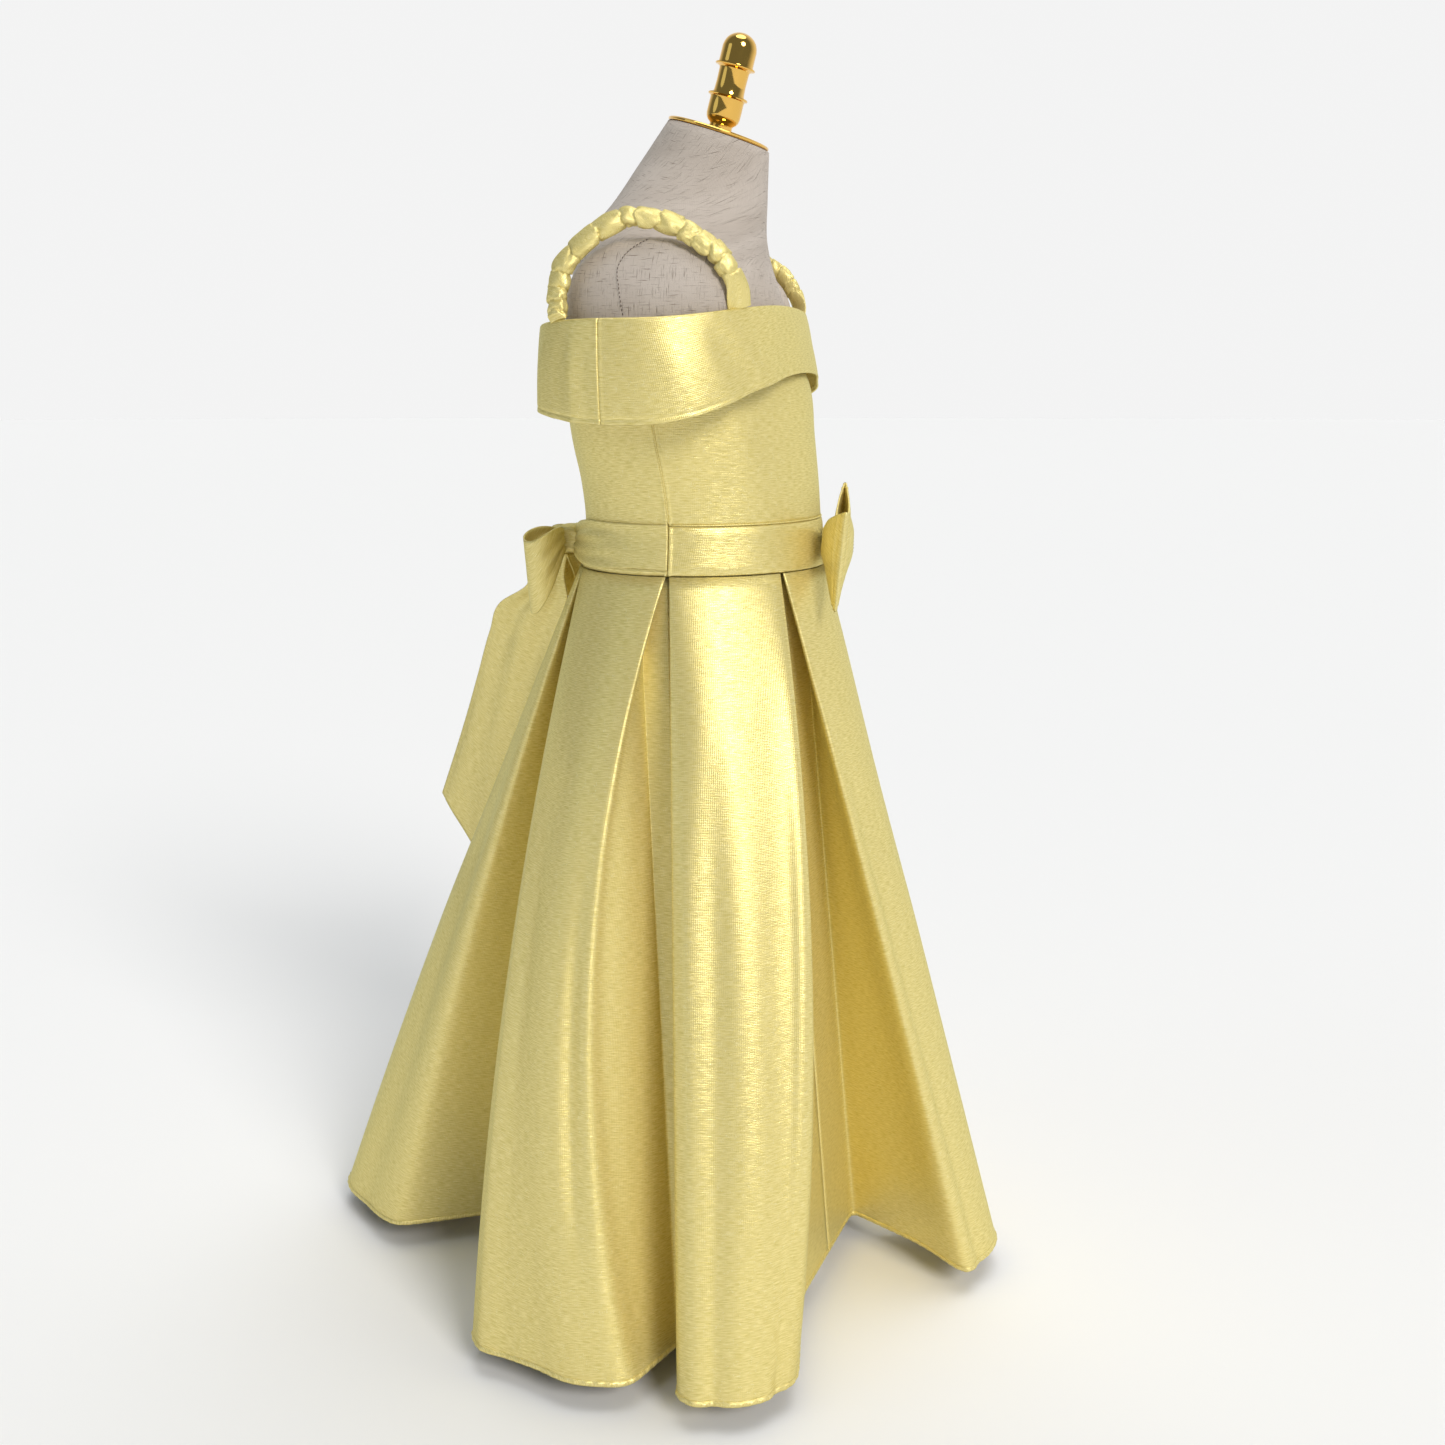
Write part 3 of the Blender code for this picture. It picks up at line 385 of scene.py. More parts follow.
linen, tree, feed = finish("greige_linen", (0.50, 0.45, 0.40), {"Roughness": 0.9, "Sheen Weight": 0.08})
place = node(tree, "UVMap", "UV", uv_map="cloth")
wave = {"Vector": place, "Distortion": 1.2, "Detail": 2.0}
warp = node(tree, "TexWave", "Fac", {**wave, "Scale": 330.0})
weft = node(tree, "TexWave", "Fac", {**wave, "Scale": 350.0}, bands_direction="Y")
threads = node(tree, "Math", "Value", {0: warp, 1: weft}, operation="MULTIPLY")
slubs = []
for stretch in ((110.0, 1500.0, 1.0), (1500.0, 95.0, 1.0)):
    turned = node(tree, "Mapping", "Vector", {"Vector": place, "Scale": stretch})
    slub = node(tree, "TexNoise", "Fac", {"Vector": turned, "Scale": 1.0, "Detail": 3.0})
    slubs.append(node(tree, "MapRange", "Result", {"Value": slub, "From Min": 0.60, "From Max": 0.74}))
slubs = node(tree, "Math", "Value", {0: slubs[0], 1: slubs[1]}, operation="MAXIMUM")
cloudy = node(tree, "TexNoise", "Fac", {"Vector": place, "Scale": 30.0, "Detail": 4.0})
ground = ramp(tree, cloudy, (0.415, 0.355, 0.30), (0.60, 0.535, 0.475))
dark = {"Factor": slubs, 6: ground, 7: (0.20, 0.155, 0.12, 1.0)}
feed("Base Color", node(tree, "Mix", 2, dark, data_type="RGBA"))
feed("Normal", bump(tree, slubs, 0.5, 0.0005, bump(tree, threads, 0.5, 0.0004)))

heights = np.linspace(FORM_ROWS[0].height, FORM_ROWS[-1].height, 90)
heights = np.unique(np.concatenate([heights, [0.402, 0.404]]))
torso = lump("linen_torso", form_grid(heights[:, None], np.arange(120) * 3.0), linen)
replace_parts(torso, "form_torso")

thread, tree, feed = finish("brown_thread", (0.12, 0.09, 0.07), {"Roughness": 0.8})
feed("Normal", bump(tree, speckle(tree, 3000.0), 0.5, 0.0001))
# The cap's rim lies on the torso: it is found by halving the range of leans again and again.
turn = turns(160)
low, high = np.full(160, 0.2), np.full(160, np.pi)
for _ in range(40):
    half = (low + high) / 2
    beyond = outside_form(arm_cap_points(turn, half)) > 0
    low, high = np.where(beyond, half, low), np.where(beyond, high, half)
cap_seam = arm_cap_points(turn, low)
cap_rows = arm_cap_points(turn[None, :], (low + 0.05)[None, :] * np.linspace(0.001, 1, 40)[:, None])
for side, word in ((-1, "right"), (1, "left")):
    flip = np.array([side, 1.0, 1.0])
    cap = closed(surface("arm_cap_" + word, cap_rows * flip, joined=True))
    piece("arm_cap_" + word, from_the_side(cap), linen)
    path = cap_seam * flip
    along = np.roll(path, -1, axis=0) - np.roll(path, 1, axis=0)
    rings = cord(path, along, path - path.mean(axis=0), SEAM_CORD)
    lump("arm_cap_seam_" + word, np.concatenate([rings, rings[:1]]), linen)
    heights = np.linspace(CROWN_SEAM[0][0], CROWN_SEAM[-1][0], 200)
    y = through(*np.array(CROWN_SEAM).T, heights)
    middle = ARM_CAP_CENTRE[2] + (ARM_CAP_RADII[2] - ARM_CAP_UNDERSIDE) / 2
    tall = (ARM_CAP_RADII[2] + ARM_CAP_UNDERSIDE) / 2
    rest = np.abs(y / ARM_CAP_RADII[1]) ** ARM_CAP_SQUARENESS
    rest = rest + np.abs((heights - middle) / tall) ** ARM_CAP_SQUARENESS
    x = ARM_CAP_CENTRE[0] + ARM_CAP_RADII[0] * np.sqrt(1 - rest ** (2 / ARM_CAP_SQUARENESS))
    path = grid(side * x, y, heights)
    spots = np.arange(0.5, run_along(path)[-1] / STITCH_PITCH) * STITCH_PITCH
    places = points_at(spots, path)
    along = unit(np.gradient(places, axis=0))
    across = unit(np.cross(along, np.array([side, 0.0, 0.0])))
    frames = np.stack([along, across, np.cross(along, across)], axis=1)
    stitches = scattered("arm_cap_stitches_" + word, places, frames, *small_ball(STITCH_SIZE))
    piece("arm_cap_stitches_" + word, closed(stitches), thread)

# The neck is closed by a polished gold plate with a turned gold finial screwed into it. Below, a
# brushed steel pole carries the form from a round steel base plate. Profiles are radii and heights.
NECK_PLATE_CENTRE = (0.0, -0.0220, 0.8083)
NECK_TILT = math.radians(17.7)
FINIAL_TILT = math.radians(15.0)
FINIAL_SEAT = 0.0020
PLATE_PROFILE = (
    (0.0000, 0.0013), (0.0335, 0.0013), (0.0342, 0.0010), (0.0347, 0.0004),
    (0.0347, -0.0005), (0.0343, -0.0010), (0.0336, -0.0013), (0.0000, -0.0013),
)
FINIAL_PROFILE = (
    (0.0000, 0.0625), (0.0022, 0.0623), (0.0044, 0.0617), (0.0064, 0.0607), (0.0084, 0.0592),
    (0.0100, 0.0572), (0.0110, 0.0548), (0.0115, 0.0524), (0.0115, 0.0430), (0.0117, 0.0420),
    (0.0131, 0.0416), (0.0134, 0.0410), (0.0131, 0.0404), (0.0112, 0.0400), (0.0102, 0.0392),
    (0.0100, 0.0380), (0.0099, 0.0300), (0.0102, 0.0244), (0.0108, 0.0230), (0.0130, 0.0225),
    (0.0134, 0.0218), (0.0130, 0.0211), (0.0116, 0.0206), (0.0113, 0.0196), (0.0114, 0.0140),
    (0.0113, 0.0094), (0.0108, 0.0072), (0.0096, 0.0054), (0.0080, 0.0042), (0.0076, 0.0034),
    (0.0078, 0.0004), (0.0074, 0.0000), (0.0000, 0.0000),
)


def turned_piece(name, profile, centre, tilt):
    """A turned gold piece: its profile carried round its own axis, which leans back by the tilt."""
    turn = turns(96)
    radius, z = np.array(profile)[:, 0, None], np.array(profile)[:, 1, None]
    x, y = radius * np.cos(turn), radius * np.sin(turn)
    points = grid(x, y * math.cos(tilt) - z * math.sin(tilt), y * math.sin(tilt) + z * math.cos(tilt))
    obj = lump(name, points + np.array(centre), gold)
    obj.data.set_sharp_from_angle(angle=math.radians(38))
    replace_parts(obj, name.replace("gold_", ""))


gold, tree, feed = finish("polished_gold", (0.86, 0.52, 0.12), {"Metallic": 1.0, "Roughness": 0.07})
wear = {"Value": speckle(tree, 260.0), "To Min": 0.04, "To Max": 0.12}
feed("Roughness", node(tree, "MapRange", "Result", wear))
turned_piece("gold_neck_plate", PLATE_PROFILE, NECK_PLATE_CENTRE, NECK_TILT)
lift = np.array([0.0, -math.sin(NECK_TILT), math.cos(NECK_TILT)]) * FINIAL_SEAT
turned_piece("gold_finial", FINIAL_PROFILE, NECK_PLATE_CENTRE + lift, FINIAL_TILT)

steel, tree, feed = finish("brushed_steel", (0.55, 0.55, 0.56), {"Metallic": 1.0, "Roughness": 0.32})
grain = {"Vector": node(tree, "TexCoord", "Object"), "Scale": (900.0, 900.0, 30.0)}
brushing = {"Vector": node(tree, "Mapping", "Vector", grain), "Scale": 1.0}
feed("Normal", bump(tree, node(tree, "TexNoise", "Fac", brushing), 0.2, 0.0002))
for name in ("pole", "base_plate"):
    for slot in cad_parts[name].material_slots:
        slot.material = steel

# The bodice: a front and two back halves of satin, fitted close to the form and seamed at the sides
# and the centre back. It runs up under the collar, and its neckline is turned in.
CLOTH = 0.0012
SEAM_GAP = 0.0003
WAIST_SEAM = 0.5243
WAISTBAND_TOP = 0.5560
UNDERARM_HEIGHT = 0.6400
NECKLINE_HEIGHT = 0.6680
DressRow = namedtuple("DressRow", "height half_width front back")
DRESS_ROWS = (
    DressRow(0.5240, 0.1005, -0.0950, 0.0716),
    DressRow(0.5560, 0.0975, -0.0918, 0.0686),
    DressRow(0.5790, 0.0990, -0.0902, 0.0709),
    DressRow(0.6100, 0.1035, -0.0870, 0.0770),
    DressRow(0.6450, 0.1065, -0.0830, 0.0810),
    DressRow(0.6700, 0.1055, -0.0725, 0.0815),
)
SEAM_DEPTH = 0.0003
SEAM_RIDGE = 0.0008
# Soft folds in the fitted cloth: azimuth at the bottom and the top, half width in degrees, and height
BODICE_FOLDS = (
    (58.0, 66.0, 5.0, -0.0006), (47.0, 52.0, 6.0, 0.0007), (20.0, 24.0, 7.0, -0.0005),
    (-24.0, -20.0, 7.0, -0.0005), (-50.0, -46.0, 6.0, 0.0006), (-64.0, -60.0, 5.0, -0.0005),
    (103.0, 99.0, 5.0, -0.0007), (118.0, 110.0, 6.0, 0.0006), (146.0, 152.0, 7.0, -0.0006),
    (216.0, 209.0, 7.0, -0.0006), (243.0, 250.0, 6.0, 0.0006), (257.0, 261.0, 5.0, -0.0006),
)

satin, tree, feed = finish(
    "pale_yellow_satin",
    (0.80, 0.67, 0.23),
    {
        "Metallic": 0.60,
        "Roughness": 0.36,
        "Specular Tint": (0.48, 0.52, 0.30, 1.0),
        "Sheen Weight": 0.05,
        "Sheen Roughness": 0.30,
        "Sheen Tint": (0.70, 0.90, 0.60, 1.0),
        "Anisotropic": 0.45,
    },
)
place = node(tree, "UVMap", "UV", uv_map="cloth")
wave = {"Vector": place, "Distortion": 2.0, "Detail": 2.0, "Detail Scale": 2.0}
weft = node(tree, "TexWave", "Fac", {**wave, "Scale": 300.0}, bands_direction="Y")
warp = node(tree, "TexWave", "Fac", {**wave, "Scale": 260.0})
weave = node(tree, "Math", "Value", {0: weft, 1: warp}, operation="ADD")
drawn_out = node(tree, "Mapping", "Vector", {"Vector": place, "Scale": (160.0, 1500.0, 1.0)})
ribs = node(tree, "TexNoise", "Fac", {"Vector": drawn_out, "Scale": 1.0, "Detail": 3.0})
# Glitter specks in sparse patches. Their colour is painted a lighter cream: a painted glint standing in
# for the sparkle that the real glitter threads give by reflecting light.
glitter = node(tree, "TexVoronoi", "Distance", {"Vector": place, "Scale": 1100.0})
speck = node(tree, "MapRange", "Result", {"Value": glitter, "From Min": 0.30, "From Max": 0.10})
patches = node(tree, "TexNoise", "Fac", {"Vector": place, "Scale": 260.0, "Detail": 2.0})
sparse = node(tree, "MapRange", "Result", {"Value": patches, "From Min": 0.50, "From Max": 0.62})
painted_glint = node(tree, "Math", "Value", {0: speck, 1: sparse}, operation="MULTIPLY")
tone = ramp(tree, ribs, (0.70, 0.58, 0.19), (0.94, 0.81, 0.37), (0.30, 0.70))
glint_paint = {"Factor": painted_glint, 6: tone, 7: (1.0, 0.94, 0.62, 1.0)}
feed("Base Color", node(tree, "Mix", 2, glint_paint, data_type="RGBA"))
feed("Roughness", node(tree, "MapRange", "Result", {"Value": ribs, "To Min": 0.50, "To Max": 0.32}))
feed("Normal", bump(tree, ribs, 0.35, 0.0004, bump(tree, weave, 0.25, 0.0002)))


def cloth(name, points, thickness=CLOTH, offset=0.0, solid=None):
    """A wall of cloth about a grid of points, in place of the solid of its name. At offset -1 the grid
    is its outer face."""
    obj = piece(name, surface(name, points), satin)
    wall = obj.modifiers.new("wall", "SOLIDIFY")
    wall.thickness = thickness
    wall.offset = offset
    wall.use_even_offset = False
    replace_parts(obj, solid or name.replace("satin_", ""))
    return obj


def dress_point(azimuth, height, out=0.0):
    """A point on the outer face of the bodice or waistband, moved out by that much: an oval through
    the rows of the table."""
    wide, front, back = oval_at(DRESS_ROWS, height)
    return grid(*around(wide + out, front - out, back + out, azimuth), height)


def between_seams(start, end, step, near, first, last, inset):
    """Azimuths from seam to seam: even steps, with closer ones beside each seam, a hair inside it."""
    near = np.concatenate(near)
    middle = np.arange(start + first, end - last, step)
    azimuth = np.concatenate([start + near, middle, (end - near)[::-1]])
    azimuth[[0, -1]] += (inset, -inset)
    return azimuth


BESIDE_SEAM = (np.linspace(0, 0.6, 4), np.linspace(1.2, 4.8, 7))


def seam_groove(distance, depth=SEAM_DEPTH, ridge=SEAM_RIDGE):
    """How far cloth stands out beside a pressed seam at that distance in metres: a narrow groove on
    the seam and a low ridge where the allowances lie under the cloth."""
    return ridge * bell(distance - 0.0016, 0.0011) - depth * bell(distance, 0.0007)


def bodice_top(azimuth):
    """Height of the bodice's top edge: level at front and back, dropping under each arm."""
    drop = np.abs(np.sin(np.radians(azimuth)))
    return NECKLINE_HEIGHT + (UNDERARM_HEIGHT - NECKLINE_HEIGHT) * ease(drop, 0.55, 0.95)


def bodice(name, start, end, low):
    """A bodice piece between two seams: the dress's oval, with soft folds and its seams pressed in."""
    azimuth = between_seams(start, end, 1.25, BESIDE_SEAM, 6, 5, 0.05)
    height = low + (bodice_top(azimuth) - low) * np.linspace(0, 1, 40)[:, None]
    level = (height - WAISTBAND_TOP) / (NECKLINE_HEIGHT - WAISTBAND_TOP)
    out = seam_groove(np.radians(np.minimum(azimuth - start, end - azimuth)) * 0.1)
    for low_az, high_az, width, rise in BODICE_FOLDS:
        away = azimuth - low_az - (high_az - low_az) * level
        out = out + rise * bell(away, width) * ease(level, 0.02, 0.3)
    return cloth(name, dress_point(azimuth[None, :], height, out)[:, ::-1], CLOTH, -1.0)


front = bodice("satin_bodice_front", -90, 90, WAISTBAND_TOP + SEAM_GAP)
for name, start in (("satin_bodice_back_right", 90), ("satin_bodice_back_left", 180)):
    back = bodice(name, start, start + 90, WAIST_SEAM)

# Piping: a thin satin cord is caught in each side seam and in the waistband's top seam, and shows as
# a lit line.
PIPING_RADIUS = 0.0006


def piping(name, azimuth, height, out):
    """A cord along a line on the dress."""
    path = dress_point(azimuth, height, out)
    rings = cord(path, np.gradient(path, axis=0), path * np.array([1.0, 1.0, 0.0]), PIPING_RADIUS)
    lump(name, rings, satin)


rise = np.linspace(WAISTBAND_TOP + 0.0015, UNDERARM_HEIGHT - 0.0005, 60)
piping("side_piping_right", 90 + 0 * rise, rise, 0.0001)
piping("side_piping_left", -90 + 0 * rise, rise, 0.0001)
sweep = np.linspace(-88.5, 88.5, 140)
piping("waist_piping", sweep, WAISTBAND_TOP + 0.0006 + 0 * sweep, 0.0002)

# The waistband: a flat folded band of satin across the front, sewn in between bodice and skirt from
# side seam to side seam. Its edges are pressed and show as a thin lit line.
BAND_THICKNESS = 0.0020
BAND_PUFF = 0.0013


def waistband():
    """The band from edge to edge: the dress's oval, a little full at mid height."""
    azimuth = between_seams(-90, 90, 1.5, BESIDE_SEAM, 6, 5, 0.05)
    share = np.linspace(0, 1, 26)[:, None]
    height = WAIST_SEAM + (WAISTBAND_TOP - WAIST_SEAM) * share
    rim = np.minimum(share, 1 - share) * (WAISTBAND_TOP - WAIST_SEAM)
    ripple = np.sin(azimuth * 0.19 + 1.3 * share) * np.sin(azimuth * 0.071 + 2.0)
    out = BAND_PUFF * np.sqrt(np.clip(rim / 0.004, 0, 1)) + 0.0004 * ripple * ease(rim, 0, 0.006)
    out = out + seam_groove(np.radians(np.minimum(azimuth + 90, 90 - azimuth)) * 0.1)
    return dress_point(azimuth[None, :], height, out - 0.0003 * bell(rim - 0.0030, 0.0007))[:, ::-1]


band = cloth("satin_waistband", waistband(), BAND_THICKNESS, -1.0, "waistband_front")

# The sash: two ties sewn in at the side seams over the waist seam. They narrow, crumple and leave
# the back on their way to the knot.
SASH_TOP = 0.5570
SASH_LOW = 0.5275
SASH_START_AZ, SASH_END_AZ = 90.1, 175.3
SASH_KNOT_HEIGHT = 0.5390
SASH_OUT = 0.0012
SASH_LIFT = 0.0083


def sash(name, side):
    """A tie: the dress's oval from the side seam to the knot, rising off the back, with creases that
    run together into the knot."""
    azimuth = np.linspace(SASH_START_AZ, SASH_END_AZ, 110)
    share = (azimuth - azimuth[0]) / (azimuth[-1] - azimuth[0])
    late = np.clip((share - 0.55) / 0.45, 0, 1) ** 2
    middle = (SASH_TOP + SASH_LOW) / 2
    half = (SASH_TOP - SASH_LOW) / 2 * (1 - 0.45 * late)
    across = np.linspace(-1, 1, 34)[:, None]
    droop = 0.0012 * np.sin(2.4 * np.pi * share + 0.4) * np.clip(-across, 0, 1) * (1 - late)
    height = middle + (SASH_KNOT_HEIGHT - middle) * late + half * across + droop
    crease = np.cos(np.pi * (3.2 * across + 1.1 * share + 0.4)) * ease(share, 0.25, 0.95)
    crease = crease + 0.6 * np.cos(np.pi * (1.4 * across - 2.3 * share + 0.9)) * ease(share, 0.0, 0.5)
    out = SASH_OUT + SASH_LIFT * late + 0.0006 * crease * (1 - across**6)
    points = dress_point(azimuth[None, :], height, out)
    points[..., 0] *= side
    obj = cloth(name, points if side < 0 else points[:, ::-1])


sash("satin_sash_right", 1)
sash("satin_sash_left", -1)

# The collar: a wide satin band folded over at the top, worn off the shoulders round the arm caps. It
# is seamed behind each arm and at the centre back, and its lower edge is turned in and stitched.
CollarEdge = namedtuple("CollarEdge", "half_width front back z_front z_side z_back")
COLLAR_TOP = CollarEdge(0.1440, -0.0752, 0.0853, 0.6950, 0.6830, 0.6810)
COLLAR_LOW = CollarEdge(0.1465, -0.0850, 0.0890, 0.6530, 0.6200, 0.6345)
COLLAR_SQUARENESS = 2.45
COLLAR_FOLD_RADIUS = 0.0015
COLLAR_BULGE = 0.0010
COLLAR_INNER_LEG = 0.0210
COLLAR_LEG_CUT = 0.6
COLLAR_SEAM_AZ = 97
COLLAR_ROWS = ((-2, -1, 6), (-0.85, -0.15, 6), (0, 0.85, 30), (0.88, 1, 10))
# Soft folds down the collar: azimuth at the top and at the lower edge, half width and height
COLLAR_FOLDS = (
    (58.0, 40.0, 6.0, -0.0022), (46.0, 28.0, 7.0, 0.0012), (76.0, 66.0, 7.0, 0.0010),
    (12.0, 20.0, 8.0, -0.0012), (-14.0, -22.0, 9.0, -0.0012), (-44.0, -32.0, 7.0, 0.0012),
    (-60.0, -44.0, 6.0, -0.0020), (104.0, 103.0, 3.0, -0.0010), (110.0, 109.0, 3.0, 0.0010),
    (118.0, 117.0, 4.0, -0.0010), (131.0, 135.0, 6.0, 0.0012), (152.0, 148.0, 6.0, -0.0012),
    (208.0, 213.0, 6.0, -0.0012), (228.0, 224.0, 6.0, 0.0012), (243.0, 244.0, 4.0, -0.0010),
    (251.0, 252.0, 3.0, 0.0010),
)


def collar_profile(azimuth, share, out=0.0):
    """A point of the collar's wall: share 0 to 1 runs down its outer leg, 0 to -1 round the top fold
    and -1 to -2 down the inner leg, on ovals that widen downwards."""
    swing = np.sin(np.radians(azimuth)) ** 2
    behind = np.cos(np.radians(azimuth)) < 0
    z_top = np.where(behind, COLLAR_TOP.z_back, COLLAR_TOP.z_front)
    z_low = np.where(behind, COLLAR_LOW.z_back, COLLAR_LOW.z_front)
    z_top = z_top + (COLLAR_TOP.z_side - z_top) * swing
    z_low = z_low + (COLLAR_LOW.z_side - z_low) * swing
    down = np.clip(share, 0, 1)
    bulge = COLLAR_BULGE * np.sin(np.pi * down) + out
    half = COLLAR_TOP.half_width + (COLLAR_LOW.half_width - COLLAR_TOP.half_width) * down + bulge
    front = COLLAR_TOP.front + (COLLAR_LOW.front - COLLAR_TOP.front) * down - bulge
    back = COLLAR_TOP.back + (COLLAR_LOW.back - COLLAR_TOP.back) * down + bulge
    turn = np.clip(-share, 0, 1) * math.pi
    inward = COLLAR_FOLD_RADIUS * (1 - np.cos(turn))
    lift = COLLAR_FOLD_RADIUS * np.sin(turn)
    leg = np.clip(-share - 1, 0, 1) * COLLAR_INNER_LEG * (1 - COLLAR_LEG_CUT * swing)
    x, y = around(half - inward, front + inward, back - inward, azimuth, COLLAR_SQUARENESS)
    fold_height = z_top - COLLAR_FOLD_RADIUS
    return grid(x, y, fold_height + (z_low - fold_height) * down + lift - leg)


def collar(name, start, end):
    """A piece of collar between two seams, with soft folds that deepen from the top fold down, its
    seams pressed in and a stitched line above the lower edge."""
    near = (np.linspace(0, 0.5, 4), np.linspace(1.0, 3.0, 5))
    azimuth = between_seams(start, end, 1.25, near, 4, 3.5, 0.04)
    share = np.concatenate([np.linspace(*row) for row in COLLAR_ROWS])[:, None]
    down = np.clip(share, 0, 1)
    beside = np.radians(np.minimum(azimuth - start, end - azimuth)) * 0.145
    out = seam_groove(beside, 0.0009, 0.0006) * (share > -1)
    for top_az, low_az, width, rise in COLLAR_FOLDS:
        away = azimuth - top_az - (low_az - top_az) * down
        out = out + rise * bell(away, width) * ease(down, 0.02, 0.5)
    out = out - 0.0004 * bell(down - 0.945, 0.012) * (share > 0)
    return cloth(name, collar_profile(azimuth[None, :], share, out)[::-1, ::-1])


for name, start, end, width, area in (
    ("satin_collar_front", -COLLAR_SEAM_AZ, COLLAR_SEAM_AZ, 0.420, 0.0296),
    ("satin_collar_back_right", COLLAR_SEAM_AZ, 180, 0.200, 0.0128),
    ("satin_collar_back_left", 180, 360 - COLLAR_SEAM_AZ, 0.200, 0.0128),
):
    made = collar(name, start, end)

# The shoulder straps: satin casings gathered on elastic, sewn into the collar's top fold behind and
# before each arm cap. The front end is flat and plain.
STRAP_WIDTH = 0.0135
STRAP_THICKNESS = 0.0092
STRAP_END_THICKNESS = 0.0030
STRAP_FLAT_SHARE = 0.08
STRAP_ENDS_AZ = (120.0, 40.0)
STRAP_SEAT = 0.0002
STRAP_FACING = 0.030
# Where the gathers pinch the casing, as shares of its length from back to front
STRAP_PINCHES = (
    -0.03, 0.03, 0.07, 0.12, 0.20, 0.29, 0.38, 0.47, 0.515, 0.57, 0.635, 0.69, 0.74, 0.79, 0.84, 1.16
)
STRAP_ROUTE = (
    (-0.1215, 0.0512, 0.7022), (-0.1190, 0.0463, 0.7183), (-0.1155, 0.0290, 0.7352),
    (-0.1115, 0.0061, 0.7450), (-0.1085, -0.0215, 0.7385), (-0.1075, -0.0440, 0.7243),
    (-0.1050, -0.0568, 0.7065),
)


def strap_frame(share):
    """Middle line of the right strap, its direction away from the arm cap and its cross direction."""
    ends = [collar_profile(az, -0.5) + np.array([0.0, 0.0, STRAP_SEAT]) for az in STRAP_ENDS_AZ]
    route = np.array([ends[0], *STRAP_ROUTE, ends[1]])
    stations = np.linspace(0, 1, len(route))

    def at(where):
        return np.stack([through(stations, route[:, axis], where) for axis in range(3)], axis=-1)

    middle = at(share)
    along = unit(at(np.clip(share + 0.01, 0, 1)) - at(np.clip(share - 0.01, 0, 1)))
    from_cap = middle - np.array([-STRAP_FACING, ARM_CAP_CENTRE[1], ARM_CAP_CENTRE[2]])
    out = unit(from_cap - along * np.sum(from_cap * along, axis=-1, keepdims=True))
    return middle, out, np.cross(along, out)


def strap(name, side):
    """A gathered casing: an oval carried over the shoulder that swells into rounded ruffles with
    sharp valleys between them, uneven in length and lean, and fine puckers along it."""
    share = np.linspace(0, 1, 320)
    middle, out, across = (found[:, None] for found in strap_frame(share))
    turn = turns(48)
    share = share[:, None]
    full = ease(1 - share, STRAP_FLAT_SHARE, 2.2 * STRAP_FLAT_SHARE) * ease(share, 0, 0.02)
    lean = 0.0060 * np.cos(turn + 2.5 * np.sin(23.0 * share)) + 0.0035 * np.cos(3 * turn - 31.0 * share)
    beat = np.interp(share + lean * full, STRAP_PINCHES, np.arange(len(STRAP_PINCHES)))
    which = np.minimum(np.floor(beat), len(STRAP_PINCHES) - 2)
    within = beat - which
    span = np.diff(STRAP_PINCHES)[which.astype(int)]
    petal = (4 * within**0.8 * (1 - within**0.8)) ** 0.55
    size = 0.96 + 2.6 * np.clip(span, 0.03, 0.10) + 0.08 * np.cos(turn + 2.4 * which)
    depth = 0.30 + 0.22 * np.cos(turn - 2.1 * which) + 0.08 * np.cos(2 * turn + which)
    furrow = np.sin(4 * turn + 5.0 * within + 2.3 * which) * np.sin(np.pi * within)
    crumple = np.cos(5 * turn + 4.0 * which) + 0.7 * np.cos(8 * turn - 3.0 * which)
    pinched = bell(np.minimum(within, 1 - within) * span, 0.014)
    ruffle = size - depth * (1 - petal) + 0.07 * crumple * pinched + 0.05 * furrow
    flat_end = 1 + 0.25 * ease(share, 0.84, 0.94)
    wide = STRAP_WIDTH / 2 * (flat_end * (1 - full) + full * ruffle)
    thick = STRAP_END_THICKNESS / 2 * (1 - full) + STRAP_THICKNESS / 2 * full * (0.25 + 0.85 * ruffle)
    rings = middle + across * (wide * np.cos(turn))[..., None] + out * (thick * np.sin(turn))[..., None]
    rings[..., 0] *= side
    obj = lump(name, rings, satin)
    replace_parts(obj, name.replace("satin_", ""))


strap("satin_strap_right", 1)
strap("satin_strap_left", -1)

# The back bow: the ties knotted at the centre back into two soft loops and two long tails with
# slanted ends, all of one folded width of satin with narrow stitched edges.
KNOT_CENTRE = (0.0, 0.0850, 0.5390)
KNOT_SIZE = (0.0200, 0.0170, 0.0210)
KNOT_POWER, KNOT_WRAP = 0.55, 0.06
LOOP_CLEARANCE = 0.0014
LOOP_BEHIND = 0.0040
Loop = namedtuple("Loop", "name side axis_x axis_y length swell drop half_height tilt")
BACK_LOOPS = (
    Loop("satin_back_bow_loop_right", -1, -0.84, 0.54, 0.028, 0.0070, 0.025, 0.0260, 0.10),
    Loop("satin_back_bow_loop_left", 1, 0.84, 0.54, 0.031, 0.0070, 0.023, 0.0240, 0.10),
)
TAIL_CUT = 0.062
